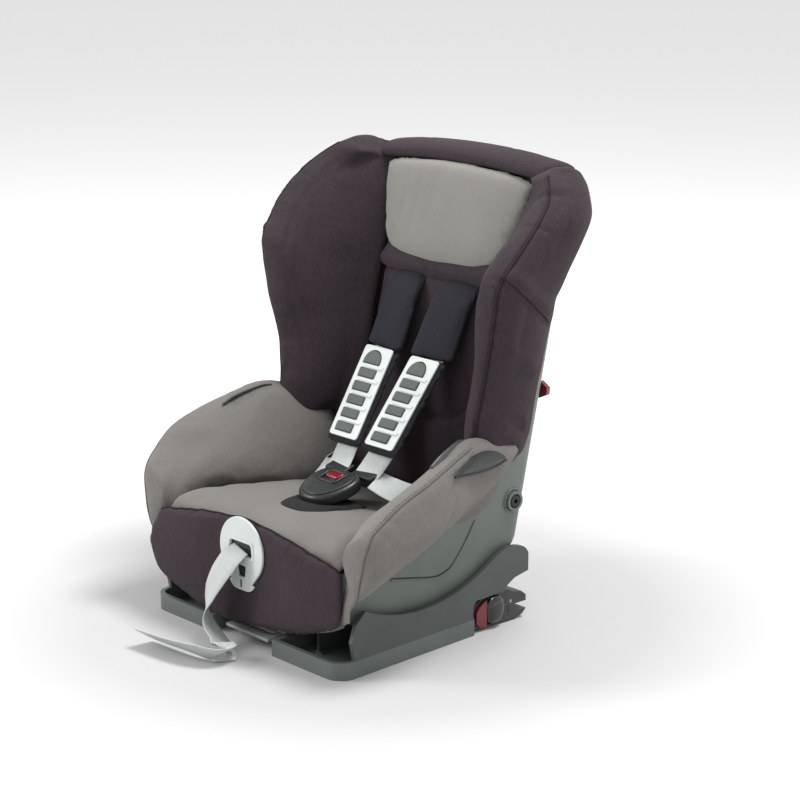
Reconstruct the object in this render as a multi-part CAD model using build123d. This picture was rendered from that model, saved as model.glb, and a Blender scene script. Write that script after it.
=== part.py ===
from build123d import *
import math
import os

# Convertible child car seat: a moulded bucket shell with padded covers, harness and belt guides,
# standing on a low tub base with curved recline rails and two sliding anchor connectors.
# Millimetres. +Z up, the child faces -Y, +X is the child's left. The base stands on z = 0.

# ---- Driving dimensions -------------------------------------------------------------------
# Recline: the shell turns about an axis along X, above the base. Radii are from that axis.
AXIS_Y, AXIS_Z = -65.0, 300.0
RUNNER_R = 262.0
RAIL_R_IN, RAIL_R_OUT = 264.5, 270.0
RAIL_X, RAIL_W, RAIL_REACH = 100.0, 12.0, 24.0        # reach in degrees each way
RACK_R_IN, RACK_R_OUT, RACK_HALF = 274.5, 281.0, 6.0
CHEEK_R = 241.0

# Base
BASE_FRONT, BASE_REAR = -212.0, 60.0
BASE_HALF_FRONT, BASE_HALF_REAR = 190.0, 171.0
CORNER_R = 24.0
TRAY_H, TRAY_WALL, FLOOR_T = 22.0, 6.0, 4.0
RECESS_HALF, RECESS_BACK = 60.0, -150.0
BAY_X, BAY_Y = 118.0, 26.0         # the tray is cut away here for the connectors
CHEEK_T = 6.0
HORN_END = 128.0

# Anchor connectors: their hooks stand 280 mm apart
ARM_X, ARM_W, ARM_H, ARM_Z = 140.0, 10.0, 12.0, 9.0
HOUSING_Y0, HOUSING_Y1 = 31.0, 127.0
HOUSING_X0, HOUSING_X1, HOUSING_TOP = 121.0, 168.0, 44.5
MOUTH_Z0, MOUTH_Z1, MOUTH_DEPTH = 12.0, 22.0, 34.0
JAW_Y, JAW_Z, JAW_PIN_R, JAW_HALF = 100.0, 27.0, 2.5, 4.0
BUTTON_Y, BUTTON_Z = 58.0, 23.0
BUTTON_LONG, BUTTON_SHORT, BUTTON_TURN = 54.0, 38.0, 18.0
POCKET_DEPTH = 8.0

# Shell
WALL = 4.5
BACK_Y0, BACK_Z0, BACK_SLOPE = 123.0, 96.0, 0.2
SHELL_LOW, SHELL_MID, SHELL_TOP = 20.0, 100.0, 576.0
SHELL_X_REAR, SHELL_X_REAR_TOP = 160.0, 165.0
FLARE_PLANE = -240.0
FLARE_X_LOW, FLARE_X_TOP = 175.0, 325.0
SHELL_FRONT, SHELL_FRONT_LOW = -194.0, 34.0
SLOT_LEVELS = (360.0, 400.0, 441.0)
SLOT_X, SLOT_W, SLOT_H = 52.0, 56.0, 8.0
HIP_Y, HIP_Z, HIP_BORE_R = 104.0, 162.0, 5.0
CLAMP_X, CLAMP_Z, CLAMP_PIN_R = 131.0, 295.0, 3.0
WINDOW_Z, WINDOW_HALF, WINDOW_RISE = 124.0, 21.0, 11.0

# Covers
GAP = 1.0
PAD_HALF = 122.0
STRAP_Z = 441.0            # the shoulder straps come out of the back here
STRAP_SPLIT = 3.5
INSERT_T = 14.0
ROLL_HALF, ROLL_TOP = 138.0, 598.0
SEAM_Y, SEAM_Z, SEAM_SLOPE = 0.0, 280.0, -0.68        # where arm and wing covers meet

# Harness
STRAP_T = 1.6
SHOULDER_W, LAP_W, CROTCH_W, PULL_W = 40.0, 38.0, 38.0, 38.0
PULL_TUBE_R = 4.4          # a round stand-in with the webbing's own section area
PULL_ROUTE = [(0, -211, 126), (-3, -222, 119), (-16, -231, 98), (-30, -237, 72), (-39, -240, 47),
              (-28, -241, 24), (2, -246, 9), (32, -262, 5), (38, -284, 5), (10, -297, 5),
              (-32, -303, 5), (-80, -306, 5)]

os.makedirs("parts", exist_ok=True)


# ---- Profiles shared by shell and covers --------------------------------------------------
def back_y(z):
    """Outer face of the shell's back at height z."""
    return BACK_Y0 + (z - BACK_Z0) * BACK_SLOPE


def rest_y(z):
    """Front face of the back and head pads at height z."""
    knee, low_slope, high_slope = 430.0, 0.21, 0.285
    return 62.0 + (min(z, knee) - 130.0) * low_slope + max(0.0, z - knee) * high_slope


def along(table, t):
    """Straight interpolation in a short list of (t, value)."""
    if t <= table[0][0]:
        return table[0][1]
    for (t0, v0), (t1, v1) in zip(table, table[1:]):
        if t <= t1:
            return v0 + (v1 - v0) * (t - t0) / (t1 - t0)
    return table[-1][1]


ARM_TOP = [(-214, 150), (-206, 172), (-186, 197), (-150, 226), (-107, 244), (-60, 259),
           (-10, 274), (20, 281), (60, 288), (100, 292)]
ARM_CREST = [(-214, 196), (-200, 208), (-186, 216), (-150, 224), (-107, 226), (-60, 218),
             (-10, 206), (40, 196), (100, 190)]
ARM_LOW = [(-214, 66), (-195, 78), (-172, 96), (-131, 114), (-98, 129), (-57, 145), (-23, 163), (8, 178),
           (29, 190), (72, 227), (100, 250)]
WING_FRONT = [(240, 4), (285, 8), (330, 12), (376, 8), (426, 7), (463, 9), (498, 32),
              (530, 62), (560, 95), (584, 120), (604, 150)]
WING_OUT = [(240, 203), (285, 206), (330, 214), (376, 228), (426, 238), (463, 243), (498, 246),
            (530, 246), (560, 236), (580, 212), (604, 176)]
WING_BULGE = [(426, 0), (480, 12), (530, 26), (560, 18), (590, -4)]
COVER_REAR = [(211, 104), (249, 122), (300, 133), (332, 141), (376, 154), (426, 170), (463, 190),
              (500, 206), (545, 212), (575, 206), (604, 196)]
SEAT_TOP = [(-206, 148), (-196, 158), (-170, 161), (-110, 157), (-40, 149), (30, 140), (70, 134)]


# ---- Helpers ------------------------------------------------------------------------------
def block(x0, x1, y0, y1, z0, z1):
    return Pos((x0 + x1) / 2, (y0 + y1) / 2, (z0 + z1) / 2) * Box(abs(x1 - x0), y1 - y0, z1 - z0)


def side_prism(points, x0, x1):
    """A (y, z) outline extruded along X."""
    face = make_face(Polyline(*points, close=True))
    return extrude(Plane.YZ.offset(x0) * face, amount=x1 - x0)


def plan_prism(points, z0, z1):
    """An (x, y) outline extruded upwards."""
    face = make_face(Polyline(*points, close=True))
    return extrude(Plane.XY.offset(z0) * face, amount=z1 - z0)


def front_prism(points, y0, y1):
    """An (x, z) outline extruded along +Y."""
    face = make_face(Polyline(*points, close=True))
    return extrude(Plane.XZ.offset(-y0) * face, amount=-(y1 - y0))


def skin(rings):
    """A closed solid through point rings of equal count, with straight spans between them."""
    wires = [Wire.make_polygon([Vector(*p) for p in ring], close=True) for ring in rings]
    return Solid.make_loft(wires, ruled=True)


def tube_x(y, z, r, x0, x1):
    """A cylinder along X."""
    return Pos((x0 + x1) / 2, y, z) * Rot(0, 90, 0) * Cylinder(r, abs(x1 - x0))


def tube_y(x, z, r, y0, y1):
    """A cylinder along Y."""
    return Pos(x, (y0 + y1) / 2, z) * Rot(90, 0, 0) * Cylinder(r, y1 - y0)


def arc_band(r_in, r_out, x0, x1, deg0, deg1):
    """A slice of a ring about the recline axis. Degrees are from straight down, rearward positive."""
    def at(r, deg):
        a = math.radians(deg)
        return (AXIS_Y + r * math.sin(a), AXIS_Z - r * math.cos(a))

    mid = (deg0 + deg1) / 2
    outer = ThreePointArc(at(r_out, deg0), at(r_out, mid), at(r_out, deg1))
    inner = ThreePointArc(at(r_in, deg1), at(r_in, mid), at(r_in, deg0))
    ends = [Line(at(r_out, deg1), at(r_in, deg1)), Line(at(r_in, deg0), at(r_out, deg0))]
    face = make_face([outer, ends[0], inner, ends[1]])
    return extrude(Plane.YZ.offset(x0) * face, amount=x1 - x0)


def strip(stations, width, thick=STRAP_T):
    """Flat webbing. Each station is a point and the direction across the webbing there."""
    rings = []
    last = len(stations) - 1
    for i, (point, side) in enumerate(stations):
        here, across = Vector(*point), Vector(*side).normalized()
        ahead = Vector(*stations[min(i + 1, last)][0]) - Vector(*stations[max(i - 1, 0)][0])
        up = across.cross(ahead).normalized()
        half, rise = across * (width / 2), up * (thick / 2)
        ring = [here - half - rise, here + half - rise, here + half + rise, here - half + rise]
        rings.append([tuple(corner) for corner in ring])
    return skin(rings)


def route_wire(points):
    """Straight runs joined by tangent arcs, each as large as its two runs allow."""
    vectors = [Vector(*p) for p in points]
    edges, start = [], vectors[0]
    for before, corner, after in zip(vectors, vectors[1:], vectors[2:]):
        back, ahead = before - corner, after - corner
        reach = 0.45 * min(back.length, ahead.length)
        leave, join = corner + back.normalized() * reach, corner + ahead.normalized() * reach
        edges.append(Edge.make_line(start, leave))
        edges.append(Edge.make_tangent_arc(leave, back * -1, join))
        start = join
    edges.append(Edge.make_line(start, vectors[-1]))
    return Wire(edges)


def mirrored(shape):
    return mirror(shape, about=Plane.YZ)


def save(shapes, name):
    """Writes a node from one shape or a list of them."""
    pieces = shapes if isinstance(shapes, list) else [shapes]
    solids = [solid for piece in pieces for solid in piece.solids()]
    export_step(solids[0] if len(solids) == 1 else Compound(children=solids), f"parts/{name}.step")


def save_pair(shape, name):
    """Writes the +X piece as _left (the child's left) and its mirror image as _right."""
    save(shape, f"{name}_left")
    save(mirrored(shape), f"{name}_right")


# ---- Base ---------------------------------------------------------------------------------
def edge_x(y, inset=0.0):
    """Half width of the base at depth y."""
    share = (y - BASE_FRONT) / (HORN_END - BASE_FRONT)
    return BASE_HALF_FRONT + (BASE_HALF_REAR - BASE_HALF_FRONT) * share - inset


def tray_outline(inset):
    front, rear, bay = BASE_FRONT + inset, BASE_REAR - inset, BAY_Y - inset
    half = [(edge_x(front, inset), front), (edge_x(bay, inset), bay),
            (BAY_X - inset, bay), (BAY_X - inset, rear)]
    return half + [(-x, y) for x, y in reversed(half)]


def front_rounded(shape, radius):
    return fillet(shape.edges().filter_by(Axis.Z).group_by(Axis.Y)[0], radius)


def base_tray():
    outer = front_rounded(plan_prism(tray_outline(0), 0, TRAY_H), CORNER_R)
    room = front_rounded(plan_prism(tray_outline(TRAY_WALL), FLOOR_T, TRAY_H + 5), CORNER_R - TRAY_WALL)
    lip = block(-RECESS_HALF - TRAY_WALL, RECESS_HALF + TRAY_WALL, BASE_FRONT,
                RECESS_BACK + TRAY_WALL, 0, TRAY_H)
    tray = outer - room + (lip & outer)
    tray -= block(-RECESS_HALF, RECESS_HALF, BASE_FRONT - 5, RECESS_BACK, -1, TRAY_H + 5)
    for side in (-1, 1):
        for x, y0, y1 in ((side * 42, -90, 10), (side * 70, -90, 10), (side * 152, -150, -80)):
            tray -= block(x - 4, x + 4, y0, y1, -1, FLOOR_T + 1)
        tray -= block(side * ARM_X - 6, side * ARM_X + 6, BAY_Y - 8, BAY_Y + 2, ARM_Z - 1, TRAY_H + 5)
    return tray


def cheek():
    """A side wall of the tub, with the arc the shell swings in and the rear horn."""
    def arc_z(y):
        return AXIS_Z - math.sqrt(CHEEK_R ** 2 - (y - AXIS_Y) ** 2)

    start, end, foot = -168.0, 56.0, TRAY_H
    arc = ThreePointArc((start, arc_z(start)), (AXIS_Y, AXIS_Z - CHEEK_R), (end, arc_z(end)))
    crest = Spline((end, arc_z(end)), (84, 103), (104, 103), (HORN_END - 4, 94),
                   tangents=[(1, 0.55), (0.7, -0.7)])
    tail = Polyline((HORN_END - 4, 94), (HORN_END, 88), (HORN_END, 64), (102, 60), (88, 53),
                    (80, 46), (BAY_Y + 4, 46), (BAY_Y - 2, 40), (BAY_Y - 2, foot), (-186, foot),
                    (-191, 46), (-184, 68), (start, arc_z(start)))
    wall = extrude(Plane.YZ.offset(140) * make_face([arc, crest, tail]), amount=60)
    slab = plan_prism([(edge_x(BASE_FRONT), BASE_FRONT), (edge_x(HORN_END), HORN_END),
                       (edge_x(HORN_END, CHEEK_T), HORN_END),
                       (edge_x(BASE_FRONT, CHEEK_T), BASE_FRONT)], 0, 120)
    return wall & slab


def rail():
    """A curved steel rail with its web and foot, which the shell's shoes slide on."""
    x0, x1 = RAIL_X - RAIL_W / 2, RAIL_X + RAIL_W / 2
    top = arc_band(RAIL_R_IN, RAIL_R_OUT, x0, x1, -RAIL_REACH, RAIL_REACH)
    web = arc_band(RAIL_R_OUT - 1, 330, RAIL_X - 2, RAIL_X + 2, -RAIL_REACH, RAIL_REACH)
    web &= block(x0, x1, -170, 40, FLOOR_T, 120)
    return top + web + block(x0, x1, -170, 40, FLOOR_T, FLOOR_T + 3)


def channel(half, y0, y1, height):
    """A box-section cross member on the tray floor."""
    bar = block(-half, half, y0, y1, FLOOR_T, FLOOR_T + height)
    return bar - block(-half - 1, half + 1, y0 + 2, y1 - 2, FLOOR_T + 2, FLOOR_T + height - 2)


def lock_rack():
    """The notched arc the recline lock drops into."""
    rack = arc_band(RACK_R_IN, RACK_R_OUT, -RACK_HALF, RACK_HALF, -15, 3)
    for deg in (-12.5, -10, -7.5, -5, -2.5, 0):
        rack -= arc_band(RACK_R_IN - 1, RACK_R_IN + 2.5, -RACK_HALF - 1, RACK_HALF + 1, deg - 0.5, deg + 0.5)
    web = arc_band(RACK_R_OUT - 1, 320, -3, 3, -12, 0) & block(-8, 8, -118, -40, FLOOR_T, 60)
    return rack + web + block(-16, 16, -118, -48, FLOOR_T, FLOOR_T + 3)


def guide_sleeve():
    """A bracket on the tray floor that the sliding arm runs in."""
    clear = 0.4
    sleeve = block(ARM_X - 8, ARM_X + 8, -60, 12, FLOOR_T, ARM_Z + ARM_H + 3)
    return sleeve - block(ARM_X - ARM_W / 2 - clear, ARM_X + ARM_W / 2 + clear, -61, 13,
                          ARM_Z - clear, ARM_Z + ARM_H + clear)


# ---- Anchor connectors --------------------------------------------------------------------
def sliding_arm():
    arm = block(ARM_X - ARM_W / 2, ARM_X + ARM_W / 2, -118, HOUSING_Y0 + 22, ARM_Z, ARM_Z + ARM_H)
    for k in range(5):
        arm -= tube_x(-100 + 18 * k, ARM_Z + ARM_H / 2, 3.0, ARM_X - 10, ARM_X + 10)
    return arm


def button_oval(grow, x0, x1):
    oval = Pos(BUTTON_Y, BUTTON_Z) * Ellipse(BUTTON_LONG / 2 + grow, BUTTON_SHORT / 2 + grow,
                                             rotation=BUTTON_TURN)
    return extrude(Plane.YZ.offset(x0) * oval, amount=x1 - x0) & \
        block(100, 200, HOUSING_Y0 + 2 - grow, 100, 4 - grow, HOUSING_TOP - 2 + grow)


def button_half(front):
    """Half of the oval control: the front part frees the hook, the rear part shows it is shut."""
    gap = 0.5
    split = BUTTON_Y - 5
    shape = button_oval(-gap, HOUSING_X1 - POCKET_DEPTH + 3, HOUSING_X1 + 5)
    shape &= block(100, 200, 0, split - gap, 0, 60) if front else block(100, 200, split + gap, 120, 0, 60)
    return fillet(shape.faces().sort_by(Axis.X)[-1].edges(), 1.2)


def connector_housing():
    outline = [(HOUSING_Y0, 3), (108, 2), (120, 5), (HOUSING_Y1, 11), (HOUSING_Y1, 30),
               (118, 37), (104, 39), (94, HOUSING_TOP), (52, HOUSING_TOP), (HOUSING_Y0, 34)]
    body = side_prism(outline, HOUSING_X0, HOUSING_X1)
    body = fillet(body.edges().filter_by(Axis.X), 1.6)
    body -= side_prism([(68, 7), (119, 7), (131, 13.5), (131, 27), (119, 34), (104, 36.5), (68, 40)],
                       ARM_X - 7, ARM_X + 7)
    body -= block(HOUSING_X0 - 1, HOUSING_X1 + 1, HOUSING_Y1 - MOUTH_DEPTH, HOUSING_Y1 + 3,
                  MOUTH_Z0, MOUTH_Z1)
    body -= block(ARM_X - ARM_W / 2, ARM_X + ARM_W / 2, HOUSING_Y0 - 1, HOUSING_Y0 + 22,
                  ARM_Z, ARM_Z + ARM_H)
    body -= tube_x(JAW_Y, JAW_Z, JAW_PIN_R, HOUSING_X0 - 1, HOUSING_X1 + 1)
    return body - button_oval(0.0, HOUSING_X1 - POCKET_DEPTH, HOUSING_X1 + 6)


def jaw():
    """The steel hook that closes behind the anchor bar."""
    hook = side_prism([(95, 27), (97, 32), (103, 32), (112, 26), (119, 22), (120, 13), (115, 13),
                       (113, 19), (104, 23), (97, 22.5)], ARM_X - JAW_HALF, ARM_X + JAW_HALF)
    return hook - tube_x(JAW_Y, JAW_Z, JAW_PIN_R + 0.06, ARM_X - 6, ARM_X + 6)


def jaw_pin():
    return tube_x(JAW_Y, JAW_Z, JAW_PIN_R, HOUSING_X0 + 0.5, HOUSING_X1 - 0.5)


# ---- Seat shell ---------------------------------------------------------------------------
def wall_ring(z, inset):
    """The U of the shell's walls at height z, as a four-sided plan that runs past the front."""
    share = max(0.0, (z - SHELL_MID) / (600.0 - SHELL_MID))
    rear_x = SHELL_X_REAR + (SHELL_X_REAR_TOP - SHELL_X_REAR) * share - inset
    flare_x = FLARE_X_LOW + (FLARE_X_TOP - FLARE_X_LOW) * share - inset
    rear = back_y(z) - inset
    return [(-flare_x, FLARE_PLANE, z), (-rear_x, rear, z), (rear_x, rear, z), (flare_x, FLARE_PLANE, z)]


def wall_x(y, z):
    """The outer face of the shell's side wall at (y, z)."""
    _, _, (rear_x, rear, _), (flare_x, front, _) = wall_ring(z, 0.0)
    return rear_x + (flare_x - rear_x) * (rear - y) / (rear - front)


def wall_block(inset, low, high, radius):
    """Everything inside the shell's walls, set in by inset, with the rear corners rounded."""
    body = skin([wall_ring(z, inset) for z in (low, SHELL_MID, high)])
    upright = body.edges().filter_by(lambda e: abs(e.tangent_at(0.5).Z) > 0.85 and e.center().Y > 0)
    return fillet(upright, radius)


def top_rounding(grow):
    """The shell narrows in a round curve towards its top."""
    half, start, top, corner = 250.0, 430.0, SHELL_TOP + grow, 116.0 + grow
    left = Spline((-half, start), (-198 - grow, 508), (-156 - grow, 556), (-corner, top),
                  tangents=[(0.15, 1), (1, 0.2)])
    right = Spline((corner, top), (156 + grow, 556), (198 + grow, 508), (half, start),
                   tangents=[(1, -0.2), (0.15, -1)])
    frame = Polyline((half, start), (half, -10), (-half, -10), (-half, start))
    face = make_face([left, Line((-corner, top), (corner, top)), right, frame])
    return extrude(Plane.XZ.offset(340) * face, amount=-640)


def side_outline(grow=0.0):
    """The shell from the side: front, arm, wing, top, back and the round underside."""
    def under(y):
        return AXIS_Z - math.sqrt(RUNNER_R ** 2 - (y - AXIS_Y) ** 2)

    rear_y = 117.0
    front = SHELL_FRONT - grow
    edge = Spline((front, 130), (-182, 152 + grow), (-128, 192 + grow), (-62, 224 + grow),
                  (4 - grow, 252), (36 - grow, 296), (50 - grow, 360), (58 - grow, 440),
                  (86 - grow, 505), (128 - grow, 552), (172 - grow, SHELL_TOP + grow),
                  tangents=[(0.05, 1), (1, 0.35)])
    arc = ThreePointArc((rear_y, under(rear_y)), (AXIS_Y, AXIS_Z - RUNNER_R), (front, under(front)))
    roof = Polyline((172 - grow, SHELL_TOP + grow), (back_y(SHELL_TOP) + 6, SHELL_TOP + grow),
                    (back_y(96) + 8, 96), (rear_y, under(rear_y)))
    nose = Line((front, under(front)), (front, 130))
    return extrude(Plane.YZ.offset(-340) * make_face([edge, roof, arc, nose]), amount=680)


def pan_line(drop=0.0):
    points = [(-192, 130), (-150, 126), (-80, 116), (0, 106), (60, 102), (100, 106), (122, 116)]
    return [(y, z - drop) for y, z in points]


def pan_z(y):
    return along(pan_line(), y)


def front_wall():
    """The shell's front wall, arched along its lower edge."""
    half, low = 176.0, SHELL_FRONT_LOW
    arch = Spline((-half, 64), (-118, 42), (-58, low + 1), (0, low), (58, low + 1), (118, 42), (half, 64))
    frame = Polyline((half, 64), (half, 128), (-half, 128), (-half, 64))
    return extrude(Plane.XZ.offset(-SHELL_FRONT) * make_face([arch, frame]), amount=-WALL)


def seat_shell():
    outer = wall_block(0.0, SHELL_LOW, SHELL_TOP + 10, 24.0)
    inner = wall_block(WALL, SHELL_LOW - 10, SHELL_TOP + 20, 20.0)
    inner += block(-300, 300, -260, FLARE_PLANE + 6, 0, 620)
    walls = (outer - inner) & side_outline() & top_rounding(0.0)
    pan = side_prism(pan_line() + list(reversed(pan_line(WALL))), -240, 240) & outer
    shell = walls + pan + (front_wall() & outer)
    for side in (-1, 1):
        runner = arc_band(RUNNER_R - 60, RUNNER_R, side * RAIL_X - 3, side * RAIL_X + 3, -26, 30)
        shell += runner & side_prism([(-190, 30), (110, 30)] + list(reversed(pan_line(WALL / 2))), -200, 200)
        for z in SLOT_LEVELS:
            x = side * SLOT_X
            shell -= block(x - SLOT_W / 2, x + SLOT_W / 2, back_y(z) - 20, back_y(z) + 20,
                           z - SLOT_H / 2, z + SLOT_H / 2)
        shell -= tube_x(HIP_Y, HIP_Z, HIP_BORE_R, side * 140, side * 180)
        shell -= tube_y(side * CLAMP_X, CLAMP_Z, CLAMP_PIN_R, 140, 180)
    shell -= block(-24, 24, -61, -55, 90, 140)
    return shell - block(-WINDOW_HALF, WINDOW_HALF, SHELL_FRONT - 2, SHELL_FRONT + WALL + 2,
                         WINDOW_Z - WINDOW_RISE, WINDOW_Z + 3)


def back_ribs():
    """Stiffening ribs standing on the back of the shell, as one moulded frame."""
    def rib(x0, x1, low, high, deep):
        return side_prism([(back_y(low), low), (back_y(high), high), (back_y(high) + deep, high),
                           (back_y(low) + deep, low)], x0, x1)

    frame = rib(-114, 114, 126, 130, 8)
    for z in (186, 246, 318):
        frame += rib(-114, 114, z, z + 4, 8)
    for x in (-112, -80, 80, 112):
        frame += rib(x - 2, x + 2, 126, 322, 8)
    return frame


def glide_shoe(deg):
    """A plastic shoe under a runner, hugging the curved rail."""
    x0, x1 = RAIL_X - 9, RAIL_X + 9
    top = arc_band(RUNNER_R, RAIL_R_IN - 0.4, x0, x1, deg - 4, deg + 4)
    for a, b in ((x0, RAIL_X - RAIL_W / 2 - 0.5), (RAIL_X + RAIL_W / 2 + 0.5, x1)):
        top += arc_band(RUNNER_R, RAIL_R_OUT - 1, a, b, deg - 4, deg + 4)
    return top


def hip_bolt():
    """The bolt that anchors a lap strap in the shell's side."""
    x = wall_x(HIP_Y, HIP_Z)
    head = tube_x(HIP_Y, HIP_Z, 8.0, x + 2.8, x + 7)
    head = fillet(head.faces().sort_by(Axis.X)[-1].edges(), 1.5)
    socket = Pos(HIP_Y, HIP_Z) * RegularPolygon(3.5, 6)
    head -= extrude(Plane.YZ.offset(x + 4) * socket, amount=5)
    return head + tube_x(HIP_Y, HIP_Z, HIP_BORE_R - 0.2, x - 14, x + 3)


def hip_cup():
    """The round cup around the hip bolt."""
    x = wall_x(HIP_Y, HIP_Z) + 1.6
    ring = tube_x(HIP_Y, HIP_Z, 13.0, x, x + 5) - tube_x(HIP_Y, HIP_Z, 9.5, x + 0.8, x + 6)
    return ring - tube_x(HIP_Y, HIP_Z, HIP_BORE_R + 0.5, x - 1, x + 2)


def clamp_lever():
    """The red lever on the shell's back that grips the car's shoulder belt at its edge."""
    y = back_y(308) + 1.0
    lever = front_prism([(123, 287), (148, 284), (161, 290), (162, 300), (150, 307), (125, 304)], y, y + 7)
    lever = fillet(lever.faces().sort_by(Axis.Y)[-1].edges(), 1.5)
    return lever - tube_y(CLAMP_X, CLAMP_Z, CLAMP_PIN_R + 0.06, y - 2, y + 9)


def clamp_pin():
    y = back_y(308) + 1.0
    return tube_y(CLAMP_X, CLAMP_Z, CLAMP_PIN_R, y - 12, y + 8) + \
        tube_y(CLAMP_X, CLAMP_Z, 4.5, y + 8, y + 9.5)


# ---- Covers -------------------------------------------------------------------------------
def seat_side(y):
    """Half width of the sitting surface at depth y."""
    return along([(-210, 168), (-150, 158), (-60, 150), (30, 140), (70, 126)], y)


def arm_pad_envelope():
    rings = []
    for y in (-214, -207, -190, -150, -107, -60, -10, 40, 92):
        nose = 8.0 if y < -210 else 0.0
        top, low, crest = along(ARM_TOP, y), along(ARM_LOW, y), along(ARM_CREST, y)
        x_in, seat = seat_side(y) + GAP + nose, along(SEAT_TOP, y) - 12
        outside = crest + 14 - nose
        rings.append([(x_in, y, seat), (x_in + 6, y, seat + (top - seat) * 0.42), (crest - 22, y, top - 16),
                      (crest - 9, y, top - 4), (crest, y, top), (crest + 9 - nose, y, top - 6),
                      (outside, y, top - (top - low) * 0.3), (wall_x(y, low) + 14, y, low + 6),
                      (wall_x(y, low) - 2, y, low)])
    return skin(rings)


def wing_pad_envelope():
    rings = []
    for z in (205, 240, 300, 360, 420, 462, 500, 530, 560, 578, 589):
        front, out = along(WING_FRONT, z), along(WING_OUT, z)
        root, rear = rest_y(z), min(back_y(z) - 1, along(COVER_REAR, z))
        side = wall_x(rear, z)
        flank = side + 12 + along(WING_BULGE, z)
        rings.append([(PAD_HALF + GAP, root, z), (PAD_HALF + 26, root - 12, z),
                      (out - 54, front + 26, z), (out - 42, front + 5, z), (out - 20, front, z),
                      (out - 4, front + 10, z), (out, front + 34, z), (flank, rear - 16, z),
                      (side + 6, rear, z), (PAD_HALF + GAP, rear, z)])
    return skin(rings)


def shell_room():
    """The space the shell's walls need inside the covers."""
    outer = wall_block(-GAP, SHELL_LOW, SHELL_TOP + 24, 24.0)
    inner = wall_block(WALL + GAP, SHELL_LOW - 10, SHELL_TOP + 34, 20.0)
    return (outer - inner) & side_outline(GAP) & top_rounding(GAP)


def seam_half(above):
    """The space above or below the inclined seam between arm and wing covers."""
    off = GAP / 2 if above else -GAP / 2
    far = 700.0 if above else -200.0
    front, rear = -300.0, 300.0
    line = [(y, SEAM_Z + (y - SEAM_Y) * SEAM_SLOPE + off) for y in (front, rear)]
    return side_prism([line[0], line[1], (rear, far), (front, far)], -300, 300)


def largest(shape):
    return max(shape.solids(), key=lambda solid: solid.volume)


def back_pad():
    """The backrest pad, up to where the shoulder straps come out."""
    rings = []
    for z in (136, 200, 280, 360, 400, STRAP_Z - STRAP_SPLIT):
        y0, y1 = rest_y(z), back_y(z) - WALL - GAP
        half = PAD_HALF - (6 if z < 150 else 0)
        rings.append([(-half, y1, z), (-half, y0 - 2, z), (-half + 40, y0 + 3, z), (half - 40, y0 + 3, z),
                      (half, y0 - 2, z), (half, y1, z)])
    return skin(rings)


def head_pad():
    """The foam behind the head insert, up to the shell's top."""
    rings = []
    for z in (STRAP_Z + STRAP_SPLIT, 500, 560, SHELL_TOP - 4):
        y0, y1 = rest_y(z) + INSERT_T, back_y(z) - WALL - GAP
        rings.append([(-PAD_HALF, y1, z), (-PAD_HALF, y0, z), (PAD_HALF, y0, z), (PAD_HALF, y1, z)])
    return skin(rings)


def head_insert():
    """The light infant head cushion on the front of the head pad."""
    def at(x, z, forward):
        return (x, rest_y(z) + INSERT_T - forward, z)

    outline = [(-70, 446), (-104, 458), (-118, 492), (-120, 548), (-106, 568), (0, 573), (106, 568),
               (120, 548), (118, 492), (104, 458), (70, 446), (0, 449)]
    cushion = front_prism(outline, 60, 240)
    rings = []
    for z in (440, 500, 560, 580):
        rings.append([at(-130, z, GAP), at(-130, z, INSERT_T - 2), at(-60, z, INSERT_T + 2),
                      at(60, z, INSERT_T + 2), at(130, z, INSERT_T - 2), at(130, z, GAP)])
    return cushion & skin(rings)


def top_roll():
    """The padded roll over the top edge of the shell, with a lip down its back."""
    lip, edge = SHELL_TOP - 26, SHELL_TOP + GAP
    lip_y, edge_y = back_y(lip) + 1.2, back_y(edge) + 1.2
    rings = []
    for x in (-ROLL_HALF, -110, -60, 0, 60, 110, ROLL_HALF):
        drop = (x / ROLL_HALF) ** 2 * 13
        rings.append([(x, 168, edge), (x, 173, ROLL_TOP - 7 - drop), (x, 186, ROLL_TOP - drop),
                      (x, 208, ROLL_TOP - drop), (x, 226, ROLL_TOP - 8 - drop), (x, edge_y + 10, edge - 8),
                      (x, lip_y + 10, lip), (x, lip_y, lip), (x, edge_y, edge)])
    return skin(rings)


def seat_pad():
    """The sitting cushion, which rests on the pan."""
    rings = []
    for y in (-192, -170, -110, -60, 0, 58):
        half, top, low = seat_side(y), along(SEAT_TOP, y), pan_z(y) + GAP
        rings.append([(-half, y, low), (-half, y, top - 6), (-half + 22, y, top), (half - 22, y, top),
                      (half, y, top - 6), (half, y, low)])
    return skin(rings) - block(-21, 21, -62, -54, 80, 200)


def front_panel():
    """The dark padded panel over the shell's front wall."""
    top = Spline((-178, 142), (-137, 150), (-83, 158), (0, 165), (83, 158), (137, 150), (178, 142))
    right = Polyline((178, 142), (195, 120), (195, 60))
    low = Spline((195, 60), (160, 42), (83, 26.5), (0, 17.5), (-83, 26.5), (-160, 42), (-195, 60))
    left = Polyline((-195, 60), (-195, 120), (-178, 142))
    panel = extrude(Plane.XZ.offset(-SHELL_FRONT + GAP) * make_face([top, right, low, left]), amount=11)
    return panel - block(-WINDOW_HALF, WINDOW_HALF, -220, -190, WINDOW_Z - WINDOW_RISE, WINDOW_Z + 3)


# ---- Harness ------------------------------------------------------------------------------
BEZEL_BACK = SHELL_FRONT - GAP - 11.0
BUCKLE_AT = (0.0, -66.0, 185.0)
BUCKLE_TILT = 24.0
GRIP_Y, GRIP_Z, GRIP_PIN_R = -168.0, 108.6, 2.0


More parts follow.
